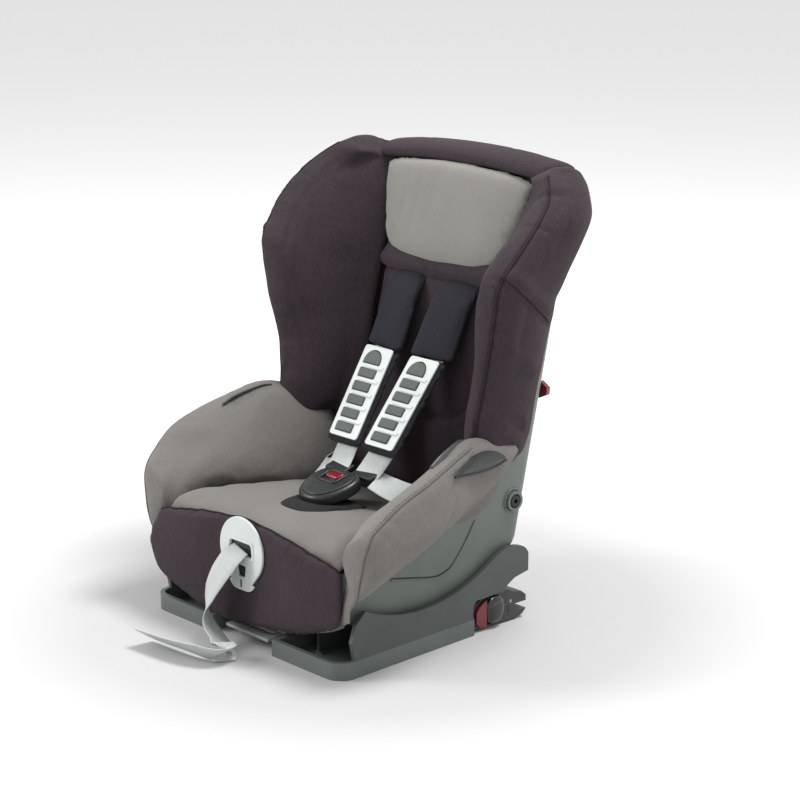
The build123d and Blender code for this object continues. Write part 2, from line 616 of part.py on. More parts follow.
def bezel():
    """The white keyhole plate on the front panel that the adjuster strap leaves through."""
    head = Pos(0, 124) * Circle(41)
    tail = make_face(Polyline((-38, 110), (38, 110), (22, 76), (14, 72), (-14, 72), (-22, 76), close=True))
    plate = extrude(Plane.XZ.offset(-BEZEL_BACK + 0.2) * (head + tail), amount=4.5)
    plate = fillet(plate.faces().sort_by(Axis.Y)[0].edges(), 1.5)
    upper = [(-20, 134), (20, 134), (22, 119), (-22, 119)]
    lower = [(-9, 104), (9, 104), (7, 88), (-7, 88)]
    return plate - front_prism(upper, -230, -190) - front_prism(lower, -230, -200)


def adjuster_housing():
    """The box behind the front wall that holds the harness adjuster."""
    box = block(-26, 26, SHELL_FRONT + WALL + 0.3, -152, 99, 121)
    hollow = block(-22, 22, SHELL_FRONT, -150, 102, 118.5)
    return box - hollow - tube_x(GRIP_Y, GRIP_Z, GRIP_PIN_R + 0.02, -30, 30)


def adjuster_lever():
    """The toothed lever that grips the adjuster strap. It turns on its pin."""
    lever = side_prism([(-184, 107), (-168, 105.5), (-160, 108), (-162, 112), (-176, 113), (-185, 112)],
                       -19, 19)
    return lever - tube_x(GRIP_Y, GRIP_Z, GRIP_PIN_R + 0.06, -25, 25)


def adjuster_pin():
    return tube_x(GRIP_Y, GRIP_Z, GRIP_PIN_R, -25.5, 25.5)


def under_webbing():
    """The adjuster strap's run from its gripper, under the pan and up behind the shell."""
    across = (1, 0, 0)
    path = [(-184, 116.2), (-172, 116.2), (-146, 112), (-100, 105), (-40, 96), (40, 90), (96, 91),
            (122, 96), (138, 110), (147, 150), (158, 210), (172, 280), (183.5, 337)]
    return strip([((0, y, z), across) for y, z in path], PULL_W)


def splitter_plate():
    """The steel yoke that joins the two shoulder straps to the adjuster strap behind the back."""
    z = 338.0
    return front_prism([(-24, z), (24, z), (40, z + 14), (76, z + 22), (76, z + 34), (-76, z + 34),
                        (-76, z + 22), (-40, z + 14)], 187, 189.5)


def shoulder_strap():
    across = (1, 0.1, 0)
    z = STRAP_Z
    path = [(52, 193, 376), (52, 197, 415), (52, 200, z - 5), (52, 196, z), (52, back_y(z) - 8, z),
            (51, rest_y(z) + 4, z), (50, rest_y(z) - 6, z - 6), (48, 110, 405), (46, 90, 372),
            (44, 66, 330), (40, 34, 286), (34, -4, 232), (32, -10, 219), (31.4, -13, 212)]
    return strip([(p, across) for p in path], SHOULDER_W)


def pad_frame():
    """The padded border of a chest pad, lying over the shoulder strap."""
    return chest_block(29, 226, 340, 0.0) - chest_block(20, 236, 330, 2.5)


def chest_block(half, z0, z1, sink):
    """A slab in front of the strap from height z0 to z1."""
    rings = []
    for z in (z0, (z0 + z1) / 2, z1):
        share = (z - 226) / 114
        x, y = 34.5 + 10 * share, -8.5 + 80 * share
        lift = 3.2 if sink == 0 else -2.0
        lean_y, lean_z = -0.82, 0.57
        low, high = lift, 12.0
        rings.append([(x - half, y + lean_y * low, z + lean_z * low),
                      (x + half, y + lean_y * low, z + lean_z * low),
                      (x + half, y + lean_y * high, z + lean_z * high),
                      (x - half, y + lean_y * high, z + lean_z * high)])
    return skin(rings)


def chest_grip(k):
    """One rubber rung of a chest pad."""
    z = 241.0 + 19.0 * k
    share = (z - 226) / 114
    x, y = 34.5 + 10 * share, -8.5 + 80 * share
    rung = Pos(x, y - 0.82 * 7.4, z + 0.57 * 7.4) * Rot(-55, 0, 0) * Box(38, 9, 7)
    return fillet(rung.edges().filter_by(Axis.X), 1.5)


def shoulder_sleeve():
    """The fabric sleeve around a shoulder strap, above the chest pad."""
    path = [(45.2, 73, 352), (46.6, 91, 382), (48, 104.5, 405), (49.4, 111, 424)]
    outer = strip([(p, (1, 0.1, 0)) for p in path], 60, 13)
    room = strip([(p, (1, 0.1, 0)) for p in [(44, 66, 330), (46, 90, 372), (48, 110, 405),
                                            (50, rest_y(435) - 6, 435)]], SHOULDER_W + 3, 4.4)
    return outer - room


def lap_route():
    """Points down the middle of the lap strap, with the direction across it."""
    return [((150, 94, 163), (0, 0.6, 1)), ((143, 76, 165), (0, 1, 0.9)), ((118, 32, 168), (0.2, 1, 0.6)),
            ((90, -2, 178), (0.3, 1, 0.5)), ((70, -16, 191), (0.3, 1, 0.45)),
            ((57, -22, 203), (0.2, 1, 0.45))]


def lap_strap():
    return strip(lap_route(), LAP_W)


def buckle_frame():
    return Plane(origin=BUCKLE_AT, x_dir=(1, 0, 0), z_dir=(0, -math.sin(math.radians(BUCKLE_TILT)),
                                                          math.cos(math.radians(BUCKLE_TILT))))


def buckle_body():
    """The harness buckle, a rounded shield. Its own y runs up and back."""
    shield = Spline((-26, 33), (-38, 18), (-36, -6), (-22, -30), (0, -36), (22, -30), (36, -6),
                    (38, 18), (26, 33))
    face = make_face([shield, Line((26, 33), (-26, 33))])
    body = extrude(face, amount=9.5, both=True)
    body = fillet(body.edges().group_by(Axis.Z)[-1] + body.edges().group_by(Axis.Z)[0], 3.5)
    body -= Pos(0, 12, 9) * Box(30, 22, 12)
    body -= Pos(0, 34, -1) * Box(50, 26, 4)
    return buckle_frame() * body


def buckle_button():
    button = Pos(0, 12, 8.2) * Box(28.6, 20.6, 6)
    button = fillet(button.edges().group_by(Axis.Z)[-1], 1.5)
    return buckle_frame() * button


def buckle_tongue(side):
    """The steel tongue that a shoulder and lap strap share. Half of it slots into the buckle."""
    tongue = Pos(side * 12.5, 33, -1) * Box(23, 22, 3)
    eye = Pos(side * 26, 49, -1) * Box(46, 14, 3) - Pos(side * 26, 49, -1) * Box(41, 5, 6)
    return buckle_frame() * (tongue + eye)


def crotch_strap():
    across = (1, 0, 0)
    return strip([((0, -58, 100), across), ((0, -58, 135), across), ((0, -58.4, 156), across),
                  ((0, -60, 174), across)], CROTCH_W)


def crotch_pad():
    """The soft tongue of cover under the buckle."""
    rings = []
    for y, half in ((-126, 26), (-112, 34), (-90, 37), (-66, 36)):
        z = along(SEAT_TOP, y) + 0.5
        rings.append([(-half, y, z), (half, y, z), (half, y, z + 4), (-half, y, z + 4)])
    return skin(rings)


def pull_strap():
    """The loose end of the adjuster strap, as a round stand-in along its route."""
    route = route_wire(PULL_ROUTE)
    start = Plane(origin=PULL_ROUTE[0], z_dir=Vector(*PULL_ROUTE[1]) - Vector(*PULL_ROUTE[0]))
    return sweep(start * Circle(PULL_TUBE_R), path=route)


# ---- Belt guides, recline handle, labels of use -------------------------------------------
def belt_guide():
    """The dark plate on the arm that the car's lap belt runs over."""
    ys = (-72, -56, -40, -22, -8)
    lift = (0.3, 5.0, 6.5, 6.5, 5.0)
    low = [(y, along(ARM_TOP, y) + 0.3) for y in ys]
    high = [(y, along(ARM_TOP, y) + 0.6 + up) for y, up in zip(ys, lift)]
    return side_prism(low + list(reversed(high)), 203, 226)


def recline_handle():
    """The pull bar under the front edge, with the fork that carries the lock pawl."""
    handle = block(-42, 42, -204, -172, 11, 15) + block(-42, 42, -176, -172, 11, 30)
    handle -= block(-28, 28, -190, -180, 5, 20)
    for side in (-1, 1):
        handle += block(side * 14.5 - 2.5, side * 14.5 + 2.5, -174, -62, 27.2, 30)
    return handle + block(-17, 17, -70, -62, 27.2, 30)


# ---- Write --------------------------------------------------------------------------------
def both(shape):
    return [shape, mirrored(shape)]


def save_base():
    save(base_tray(), "base_tray")
    save_pair(cheek(), "base_cheek")
    save(both(rail()), "recline_rails")
    save([channel(92, 20, 42, 16), channel(92, -142, -124, 14)], "cross_members")
    save(lock_rack(), "lock_rack")
    save(both(guide_sleeve()), "arm_sleeves")


def save_connectors():
    save_pair(sliding_arm(), "anchor_arm")
    save_pair(connector_housing(), "connector_housing")
    save_pair(jaw(), "connector_jaw")
    save_pair(jaw_pin(), "jaw_pin")
    save_pair(button_half(True), "release_button")
    save_pair(button_half(False), "lock_indicator")


def save_shell():
    save(seat_shell(), "seat_shell")
    save(back_ribs(), "back_ribs")
    save(both(glide_shoe(-8)) + both(glide_shoe(17)), "glide_shoes")
    save(both(hip_bolt()), "hip_bolts")
    save(both(hip_cup()), "hip_cups")
    save_pair(clamp_lever(), "belt_clamp")
    save(both(clamp_pin()), "clamp_pins")
    save(both(belt_guide()), "belt_guides")
    save(recline_handle(), "recline_handle")


def save_covers():
    room = shell_room()
    front = block(-182, 182, SHELL_FRONT - GAP, SHELL_FRONT + WALL + GAP, 20, 132)
    front += side_prism(pan_line(-GAP) + [(122, 40), (-192, 40)], -220, 220) & \
        wall_block(-GAP, SHELL_LOW, SHELL_TOP, 24.0)
    hip_strap = strip(lap_route(), LAP_W + 3, STRAP_T + 3)
    arm = (arm_pad_envelope() & seam_half(False)) - room - front - front_panel() - hip_strap
    save_pair(largest(arm), "arm_pad")
    corner = block(80, ROLL_HALF + GAP, 100, 260, SHELL_TOP + GAP, 640)
    wing = (wing_pad_envelope() & seam_half(True)) - room - corner
    save_pair(largest(wing), "wing_pad")
    save(back_pad(), "back_pad")
    save(head_pad(), "head_pad")
    save(head_insert(), "head_insert")
    save(top_roll(), "top_roll")
    save(seat_pad(), "seat_pad")
    save(front_panel(), "front_panel")
    save(crotch_pad(), "crotch_pad")


def save_harness():
    save(bezel(), "strap_bezel")
    save(adjuster_housing(), "adjuster_housing")
    save(adjuster_lever(), "adjuster_lever")
    save(adjuster_pin(), "adjuster_pin")
    save(under_webbing(), "under_webbing")
    save(splitter_plate(), "splitter_plate")
    save_pair(shoulder_strap(), "shoulder_strap")
    save_pair(pad_frame(), "chest_pad")
    save([grip for k in range(5) for grip in both(chest_grip(k))], "chest_grips")
    save(both(shoulder_sleeve()), "shoulder_sleeves")
    save_pair(lap_strap(), "lap_strap")
    save(buckle_body(), "buckle_body")
    save(buckle_button(), "buckle_button")
    save([buckle_tongue(1), buckle_tongue(-1)], "buckle_tongues")
    save(crotch_strap(), "crotch_strap")
    save(pull_strap(), "adjuster_strap")


save_base()
save_connectors()
save_shell()
save_covers()
save_harness()
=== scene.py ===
import math

import bmesh
import bpy
import numpy as np
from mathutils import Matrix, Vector
from mathutils.bvhtree import BVHTree


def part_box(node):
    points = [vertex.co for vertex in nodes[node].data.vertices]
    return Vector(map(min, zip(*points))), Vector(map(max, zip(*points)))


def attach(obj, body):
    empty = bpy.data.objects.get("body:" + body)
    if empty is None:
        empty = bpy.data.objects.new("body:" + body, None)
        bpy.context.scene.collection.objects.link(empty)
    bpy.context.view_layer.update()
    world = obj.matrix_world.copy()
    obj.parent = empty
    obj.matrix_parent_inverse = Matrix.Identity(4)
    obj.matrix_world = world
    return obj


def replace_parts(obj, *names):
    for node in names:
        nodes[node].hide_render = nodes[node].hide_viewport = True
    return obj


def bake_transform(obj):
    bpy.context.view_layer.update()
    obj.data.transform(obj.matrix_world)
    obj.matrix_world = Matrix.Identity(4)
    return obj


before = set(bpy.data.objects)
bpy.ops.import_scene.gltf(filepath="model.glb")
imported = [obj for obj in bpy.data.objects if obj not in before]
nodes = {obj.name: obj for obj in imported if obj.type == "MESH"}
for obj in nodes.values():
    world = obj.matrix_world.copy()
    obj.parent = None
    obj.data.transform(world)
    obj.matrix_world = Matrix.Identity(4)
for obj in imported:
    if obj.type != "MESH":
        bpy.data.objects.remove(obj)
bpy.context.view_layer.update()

MM = 0.001
LEFT, RIGHT = 1, -1
SIDES = {"left": LEFT, "right": RIGHT}
scene = bpy.context.scene


# ---- Materials ----------------------------------------------------------------------------
class Shader:
    """A node material with a Principled shader and short ways to add nodes."""

    def __init__(self, name, color, roughness, metallic=0.0, specular=0.5):
        self.material = bpy.data.materials.new(name)
        self.material.use_nodes = True
        self.tree = self.material.node_tree
        self.bsdf = self.tree.nodes["Principled BSDF"]
        self.bsdf.inputs["Base Color"].default_value = (*color, 1)
        self.bsdf.inputs["Roughness"].default_value = roughness
        self.bsdf.inputs["Metallic"].default_value = metallic
        self.bsdf.inputs["Specular IOR Level"].default_value = specular
        self.coords = self.add("ShaderNodeTexCoord").outputs["Object"]

    def add(self, kind, **settings):
        node = self.tree.nodes.new(kind)
        for key, value in settings.items():
            setattr(node, key, value)
        return node

    def link(self, a, b):
        self.tree.links.new(a, b)

    def noise(self, scale, detail=4.0, roughness=0.55, stretch=(1, 1, 1)):
        mapping = self.add("ShaderNodeMapping")
        mapping.inputs["Scale"].default_value = stretch
        self.link(self.coords, mapping.inputs["Vector"])
        node = self.add("ShaderNodeTexNoise")
        node.inputs["Scale"].default_value = scale
        node.inputs["Detail"].default_value = detail
        node.inputs["Roughness"].default_value = roughness
        self.link(mapping.outputs["Vector"], node.inputs["Vector"])
        return node.outputs["Fac"]

    def wave(self, axis, period, distort=0.6):
        """Threads across an axis, a period apart in metres."""
        node = self.add("ShaderNodeTexWave", wave_type="BANDS", bands_direction=axis)
        node.inputs["Scale"].default_value = math.pi / 10 / period
        node.inputs["Distortion"].default_value = distort
        node.inputs["Detail"].default_value = 1.0
        node.inputs["Detail Scale"].default_value = 3.0
        self.link(self.coords, node.inputs["Vector"])
        return node.outputs["Fac"]

    def math(self, operation, a, b):
        node = self.add("ShaderNodeMath", operation=operation)
        for socket, value in zip(node.inputs, (a, b)):
            if isinstance(value, (int, float)):
                socket.default_value = value
            else:
                self.link(value, socket)
        return node.outputs[0]

    def ramp(self, fac, stops):
        """Colours or greys along a factor; stops are (position, colour)."""
        node = self.add("ShaderNodeValToRGB")
        elements = node.color_ramp.elements
        while len(elements) < len(stops):
            elements.new(0.5)
        for element, (position, color) in zip(elements, stops):
            element.position = position
            element.color = (*color, 1) if len(color) == 3 else color
        self.link(fac, node.inputs["Fac"])
        return node.outputs["Color"]

    def bump(self, height, strength, distance, after=None):
        node = self.add("ShaderNodeBump")
        node.inputs["Strength"].default_value = strength
        node.inputs["Distance"].default_value = distance
        self.link(height, node.inputs["Height"])
        if after is not None:
            self.link(after, node.inputs["Normal"])
        return node.outputs["Normal"]


def shade(color, factor):
    return tuple(min(1.0, c * factor) for c in color)


def fabric(name, color, thread, contrast, sheen, rough=0.92):
    """Woven cloth: crossed threads, a slubby heather and soft broad fading."""
    s = Shader(name, color, rough, specular=0.18)
    across = s.math("MAXIMUM", s.wave("Y", thread), s.wave("Z", thread))
    threads = s.math("MAXIMUM", s.wave("X", thread), across)
    slub = s.noise(420, 3, 0.7, (1, 1, 0.35))
    broad = s.noise(9, 3, 0.5)
    mix = s.math("ADD", s.math("MULTIPLY", slub, 0.62), s.math("MULTIPLY", broad, 0.38))
    low, high = shade(color, 1 - contrast), shade(color, 1 + contrast)
    s.link(s.ramp(mix, [(0.32, low), (0.5, color), (0.70, high)]), s.bsdf.inputs["Base Color"])
    first = s.bump(s.noise(60, 4, 0.6), 0.18, 0.0015)
    second = s.bump(slub, 0.35, 0.0006, first)
    s.link(s.bump(threads, 0.30, 0.0004, second), s.bsdf.inputs["Normal"])
    s.bsdf.inputs["Sheen Weight"].default_value = sheen
    s.bsdf.inputs["Sheen Roughness"].default_value = 0.45
    s.bsdf.inputs["Sheen Tint"].default_value = (*shade(color, 3.2), 1)
    return s.material


def plastic(name, color, rough, grain=0.0009, scratch=0.10, coat=0.0):
    """Moulded plastic: fine spark grain, faint cloudiness and rubbed, duller patches."""
    s = Shader(name, color, rough, specular=0.45)
    cloud = s.noise(14, 4, 0.5)
    s.link(s.ramp(cloud, [(0.3, shade(color, 0.90)), (0.5, color), (0.72, shade(color, 1.12))]),
           s.bsdf.inputs["Base Color"])
    rub = s.noise(55, 5, 0.65, (1, 1, 2.5))
    low, high = max(0.05, rough - 0.07), rough + scratch
    s.link(s.ramp(rub, [(0.35, (low,) * 3), (0.7, (high,) * 3)]), s.bsdf.inputs["Roughness"])
    if grain:
        spark = s.noise(1 / grain, 2, 0.5)
        s.link(s.bump(spark, 0.22, 0.0003), s.bsdf.inputs["Normal"])
    s.bsdf.inputs["Coat Weight"].default_value = coat
    s.bsdf.inputs["Coat Roughness"].default_value = 0.08
    return s.material


def metal(name, color=(0.46, 0.47, 0.48), rough=0.34):
    """Zinc plated sheet steel: drawn streaks and cloudy passivation."""
    s = Shader(name, color, rough, metallic=1.0)
    streak = s.noise(240, 3, 0.6, (0.08, 1, 1))
    s.link(s.ramp(streak, [(0.3, (rough - 0.1,) * 3), (0.7, (rough + 0.14,) * 3)]),
           s.bsdf.inputs["Roughness"])
    s.link(s.ramp(s.noise(40, 4), [(0.3, shade(color, 0.82)), (0.7, shade(color, 1.1))]),
           s.bsdf.inputs["Base Color"])
    s.link(s.bump(streak, 0.1, 0.0002), s.bsdf.inputs["Normal"])
    return s.material


def webbing(name, color):
    """Narrow woven belt: ribs across, seen from the piece's own UVs (u along, v across)."""
    s = Shader(name, color, 0.62, specular=0.3)
    uv = s.add("ShaderNodeUVMap", uv_map="belt").outputs["UV"]
    ribs = s.add("ShaderNodeTexWave", wave_type="BANDS", bands_direction="X")
    ribs.inputs["Scale"].default_value = math.pi / 10 / 0.0016
    warp = s.add("ShaderNodeTexWave", wave_type="BANDS", bands_direction="Y")
    warp.inputs["Scale"].default_value = math.pi / 10 / 0.0026
    for node in (ribs, warp):
        node.inputs["Distortion"].default_value = 0.35
        s.link(uv, node.inputs["Vector"])
    weave = s.math("MULTIPLY", ribs.outputs["Fac"], warp.outputs["Fac"])
    fleck = s.noise(260, 3, 0.6)
    tone = s.math("ADD", s.math("MULTIPLY", weave, 0.5), s.math("MULTIPLY", fleck, 0.5))
    s.link(s.ramp(tone, [(0.2, shade(color, 0.80)), (0.75, shade(color, 1.06))]),
           s.bsdf.inputs["Base Color"])
    s.link(s.bump(weave, 0.45, 0.0004), s.bsdf.inputs["Normal"])
    s.bsdf.inputs["Sheen Weight"].default_value = 0.2
    return s.material


DARK = (0.041, 0.030, 0.036)
GREY = (0.165, 0.155, 0.146)
THREAD = 0.0011
MATERIALS = {}
for kind, name, *values in (
        (fabric, "dark_fabric", DARK, THREAD, 0.30, 0.22),
        (fabric, "sleeve_fabric", (0.021, 0.020, 0.026), THREAD, 0.3, 0.15),
        (fabric, "grey_fabric", GREY, THREAD, 0.16, 0.22),
        (fabric, "light_fabric", (0.225, 0.218, 0.200), 0.0008, 0.10, 0.3),
        (fabric, "pad_border", (0.020, 0.020, 0.022), THREAD, 0.3, 0.2),
        (fabric, "thread_dark", shade(DARK, 0.45), THREAD, 0.2, 0.1),
        (fabric, "thread_grey", shade(GREY, 0.62), THREAD, 0.2, 0.1),
        (plastic, "shell_plastic", (0.132, 0.152, 0.136), 0.44),
        (plastic, "base_plastic", (0.062, 0.071, 0.068), 0.40),
        (plastic, "tray_plastic", (0.112, 0.128, 0.120), 0.42),
        (plastic, "connector_plastic", (0.012, 0.012, 0.013), 0.16, 0, 0.05, 0.6),
        (plastic, "housing_plastic", (0.042, 0.048, 0.046), 0.42),
        (plastic, "red_plastic", (0.17, 0.009, 0.014), 0.22, 0, 0.06, 0.5),
        (plastic, "white_plastic", (0.56, 0.60, 0.585), 0.36, 0.0012, 0.08),
        (plastic, "handle_plastic", (0.30, 0.32, 0.31), 0.42),
        (plastic, "buckle_plastic", (0.019, 0.022, 0.021), 0.34),
        (plastic, "grip_rubber", (0.085, 0.098, 0.092), 0.68, 0.0007),
        (plastic, "black_plastic", (0.012, 0.013, 0.013), 0.5),
        (fabric, "elastic", (0.10, 0.018, 0.016), THREAD, 0.3, 0.1),
        (metal, "steel"),
        (webbing, "webbing", (0.55, 0.58, 0.57))):
    MATERIALS[name] = kind(name, *values)


def paint(obj, material, slot=None):
    obj.data.materials.clear()
    obj.data.materials.append(MATERIALS[material])


def finished(obj, material, slot=None, body="seat"):
    """Paints a piece and rides it on its body. The slot argument is passed on to paint, which does not use
    it.
    """
    paint(obj, material, slot or material)
    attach(obj, body)
    return obj


# ---- Camera, light and floor --------------------------------------------------------------
def add_camera():
    azimuth, elevation = math.radians(47.95), math.radians(14.54)
    back = Vector((math.sin(azimuth) * math.cos(elevation), -math.cos(azimuth) * math.cos(elevation),
                   math.sin(elevation)))
    camera = bpy.data.objects.new("camera", bpy.data.cameras.new("camera"))
    camera.location = (2.18243, -1.91116, 1.03394)
    camera.rotation_mode = "QUATERNION"
    camera.rotation_quaternion = (-back).to_track_quat("-Z", "Y")
    camera.data.lens = 104.1
    camera.data.sensor_width = 36
    scene.collection.objects.link(camera)
    scene.camera = camera


def area_light(name, place, target, size, power, color=(1, 1, 1)):
    data = bpy.data.lights.new(name, "AREA")
    data.shape = "DISK"
    data.size = size
    data.energy = power
    data.color = color
    light = bpy.data.objects.new(name, data)
    light.location = place
    light.rotation_mode = "QUATERNION"
    light.rotation_quaternion = (Vector(target) - Vector(place)).to_track_quat("-Z", "Y")
    scene.collection.objects.link(light)


def add_studio():
    mesh = bpy.data.meshes.new("floor")
    far = 30.0
    mesh.from_pydata([(-far, -far, 0), (far, -far, 0), (far, far, 0), (-far, far, 0)], [], [(0, 1, 2, 3)])
    floor = bpy.data.objects.new("floor", mesh)
    scene.collection.objects.link(floor)
    s = Shader("floor", (0.90, 0.90, 0.90), 0.6, specular=0.1)
    away = s.add("ShaderNodeVectorMath", operation="LENGTH")
    s.link(s.add("ShaderNodeNewGeometry").outputs["Position"], away.inputs[0])
    # Painted shade and light: the floor is coloured darker round the seat, where the lamps are strong, and
    # lighter further out, where they fall off. The floor reads evenly white, with a deeper shadow near the
    # seat.
    painted_falloff_shade = s.math("ADD", s.math("MULTIPLY", away.outputs["Value"], 0.4),
                   s.math("MULTIPLY", s.noise(3), 0.02))
    s.link(s.ramp(painted_falloff_shade, [(0.16, (0.52,) * 3), (0.28, (0.74,) * 3), (0.50, (0.95,) * 3)]),
           s.bsdf.inputs["Base Color"])
    floor.data.materials.append(s.material)
    world = bpy.data.worlds.new("world")
    scene.world = world
    world.use_nodes = True
    world.node_tree.nodes["Background"].inputs["Color"].default_value = (1, 1, 1, 1)
    world.node_tree.nodes["Background"].inputs["Strength"].default_value = 0.8
    area_light("key", (0.7, 0.8, 3.1), (0, 0, 0.2), 1.2, 92)
    area_light("front", (-2.2, -2.5, 1.8), (0, 0, 0.3), 1.3, 62)
    scene.view_settings.view_transform = "Standard"


add_camera()
add_studio()


# ---- Mesh helpers -------------------------------------------------------------------------
def catmull(a, b, c, d, f):
    """The Catmull-Rom span from b to c, at the shares f of its length."""
    return 0.5 * (2 * b + (c - a) * f + (2 * a - 5 * b + 4 * c - d) * f ** 2
                  + (3 * b - a - 3 * c + d) * f ** 3)


def spline(points, count):
    """Catmull-Rom through the points, sampled evenly in parameter."""
    p = np.array(points, float)
    ends = np.vstack([2 * p[0] - p[1], p, 2 * p[-1] - p[-2]])
    t = np.linspace(0, len(p) - 1, count)
    i = np.minimum(t.astype(int), len(p) - 2)
    f = (t - i)[:, None]
    return catmull(*(ends[i + k] for k in range(4)), f)


def ring_spline(points, per_span):
    """The same round a closed ring."""
    p = np.array(points, float)
    n = len(p)
    t = np.arange(n * per_span) / per_span
    i = t.astype(int)
    f = (t - i)[:, None]
    return catmull(*(p[(i + k - 1) % n] for k in range(4)), f)


def shade_smooth(mesh):
    mesh.polygons.foreach_set("use_smooth", [True] * len(mesh.polygons))


def linked(name, data):
    """A new object in the scene."""
    obj = bpy.data.objects.new(name, data)
    scene.collection.objects.link(obj)
    return obj


def loft(name, rings):
    """A closed skin through rings of equal count, in millimetres. Ends close on a point at their middle."""
    rings = np.array(rings, float)
    m, k, _ = rings.shape
    vertices = list(rings.reshape(-1, 3))
    faces = []
    for i in range(m - 1):
        for j in range(k):
            a, b = i * k + j, i * k + (j + 1) % k
            faces.append((a, b, b + k, a + k))
    for row in (0, m - 1):
        vertices.append(rings[row].mean(axis=0))
        middle = len(vertices) - 1
        for j in range(k):
            a, b = row * k + j, row * k + (j + 1) % k
            faces.append((b, a, middle) if row == 0 else (a, b, middle))
    mesh = bpy.data.meshes.new(name)
    mesh.from_pydata([tuple(v) for v in np.array(vertices) * MM], [], faces)
    mesh.update()
    shade_smooth(mesh)
    obj = linked(name, mesh)
    fix_normals(obj)
    return obj


def pad_from_rails(name, rails, stations=40, per_span=4, dome=(0, 0)):
    """A closed pad. Rails run along it in step and are joined round by smooth rings.
    dome rounds each end, by that many millimetres."""
    grid = np.array([spline(rail, stations) for rail in rails])
    rings = [ring_spline(grid[:, s], per_span) for s in range(stations)]
    for end, amount in ((0, dome[0]), (-1, dome[1])):
        if amount:
            ring = rings[end]
            middle = ring.mean(axis=0)
            step = middle - rings[end + 1 if end == 0 else end - 1].mean(axis=0)
            out = step / np.linalg.norm(step)
            caps = [middle + (ring - middle) * math.cos(a) + out * amount * math.sin(a)
                    for a in (0.5, 0.9, 1.2)]
            rings = caps[::-1] + rings if end == 0 else rings + caps
    return loft(name, rings)


def fix_normals(obj):
    mesh = bmesh.new()
    mesh.from_mesh(obj.data)
    bmesh.ops.recalc_face_normals(mesh, faces=mesh.faces)
    mesh.to_mesh(obj.data)
    mesh.free()


def bake_modifiers(obj):
    """Applies what modifiers the object has."""
    evaluated = obj.evaluated_get(bpy.context.evaluated_depsgraph_get())
    mesh = bpy.data.meshes.new_from_object(evaluated)
    old = obj.data
    obj.modifiers.clear()
    obj.data = mesh
    bpy.data.meshes.remove(old)
    shade_smooth(mesh)


def points_of(obj, fact="co"):
    """Each vertex's place, or with fact "normal" its normal, as rows."""
    flat = np.zeros(len(obj.data.vertices) * 3)
    obj.data.vertices.foreach_get(fact, flat)
    return flat.reshape(-1, 3)


def set_points(obj, points):
    obj.data.vertices.foreach_set("co", points.ravel())
    obj.data.update()


def near_line(points, line):
    """Distance of points from a polyline, and how far along it (0 to 1) the nearest place is."""
    line = np.array(line, float)
    best = np.full(len(points), np.inf)
    where = np.zeros(len(points))
    lengths = np.linalg.norm(np.diff(line, axis=0), axis=1)
    total, run = lengths.sum(), 0.0
    for a, b, size in zip(line, line[1:], lengths):
        d = b - a
        t = np.clip(((points - a) @ d) / (d @ d), 0, 1)
        distance = np.linalg.norm(points - a - t[:, None] * d, axis=1)
        nearer = distance < best
        best = np.where(nearer, distance, best)
        where = np.where(nearer, (run + t * size) / total, where)
        run += size
    return best, where


def press(obj, line, width, depth, fade=0.12, both_ends=True):
    """Moves the surface along its normals near a line: depth > 0 makes a groove, < 0 a ridge."""
    points, normals = points_of(obj), points_of(obj, "normal")
    distance, where = near_line(points / MM, spline(line, 24))
    ease = np.clip(where / fade, 0, 1) * np.clip((1 - where) / fade, 0, 1) if both_ends else 1.0
    amount = depth * np.exp(-(distance / width) ** 2) * ease
    set_points(obj, points - normals * amount[:, None] * MM)


def drape(obj, line, lift=0.0, count=60):
    """The line's points moved onto the nearest place on a finished surface, lifted off it."""
    tree = BVHTree.FromObject(obj, bpy.context.evaluated_depsgraph_get())
    draped = []
    for p in spline(line, count):
        place, normal, _, _ = tree.find_nearest(Vector(p * MM))
        draped.append(np.array(place) / MM + np.array(normal) * lift)
    return np.array(draped)


def piping(name, obj, line, radius, material, slot, count=70):
    """A corded seam: a thin bead laid along a line on the surface."""
    draped = drape(obj, line, radius * 0.35, count)
    for _ in range(3):
        draped[1:-1] = (draped[:-2] + 2 * draped[1:-1] + draped[2:]) / 4
    return thread(name, draped, radius, material, slot)


STITCH_LENGTH, STITCH_GAP, STITCH_RADIUS = 3.2, 2.0, 0.33


def stitches(name, obj, line, offset, material, slot):
    """A run of separate stitches beside a seam, each a tiny capsule lying on the surface."""
    draped = drape(obj, line, 0.25, 200)
    steps = np.concatenate([[0], np.cumsum(np.linalg.norm(np.diff(draped, axis=0), axis=1))])
    tree = BVHTree.FromObject(obj, bpy.context.evaluated_depsgraph_get())
    curve = new_curve(name, "3D", STITCH_RADIUS * MM, 1)
    curve.use_fill_caps = True
    at = 1.0
    while at + STITCH_LENGTH < steps[-1]:
        pair = []
        for t in (at, at + STITCH_LENGTH):
            p = np.array([np.interp(t, steps, draped[:, k]) for k in range(3)])
            q = np.array([np.interp(min(t + 1, steps[-1]), steps, draped[:, k]) for k in range(3)])
            _, normal, _, _ = tree.find_nearest(Vector(p * MM))
            aside = np.cross(np.array(normal), q - p + 1e-9)
            aside /= max(np.linalg.norm(aside), 1e-9)
            place, normal, _, _ = tree.find_nearest(Vector((p + aside * offset) * MM))
            pair.append(np.array(place) + np.array(normal) * 0.15 * MM)
        add_run(curve, pair)
        at += STITCH_LENGTH + STITCH_GAP
    return finished(bake_curve(linked(name, curve)), material, slot)


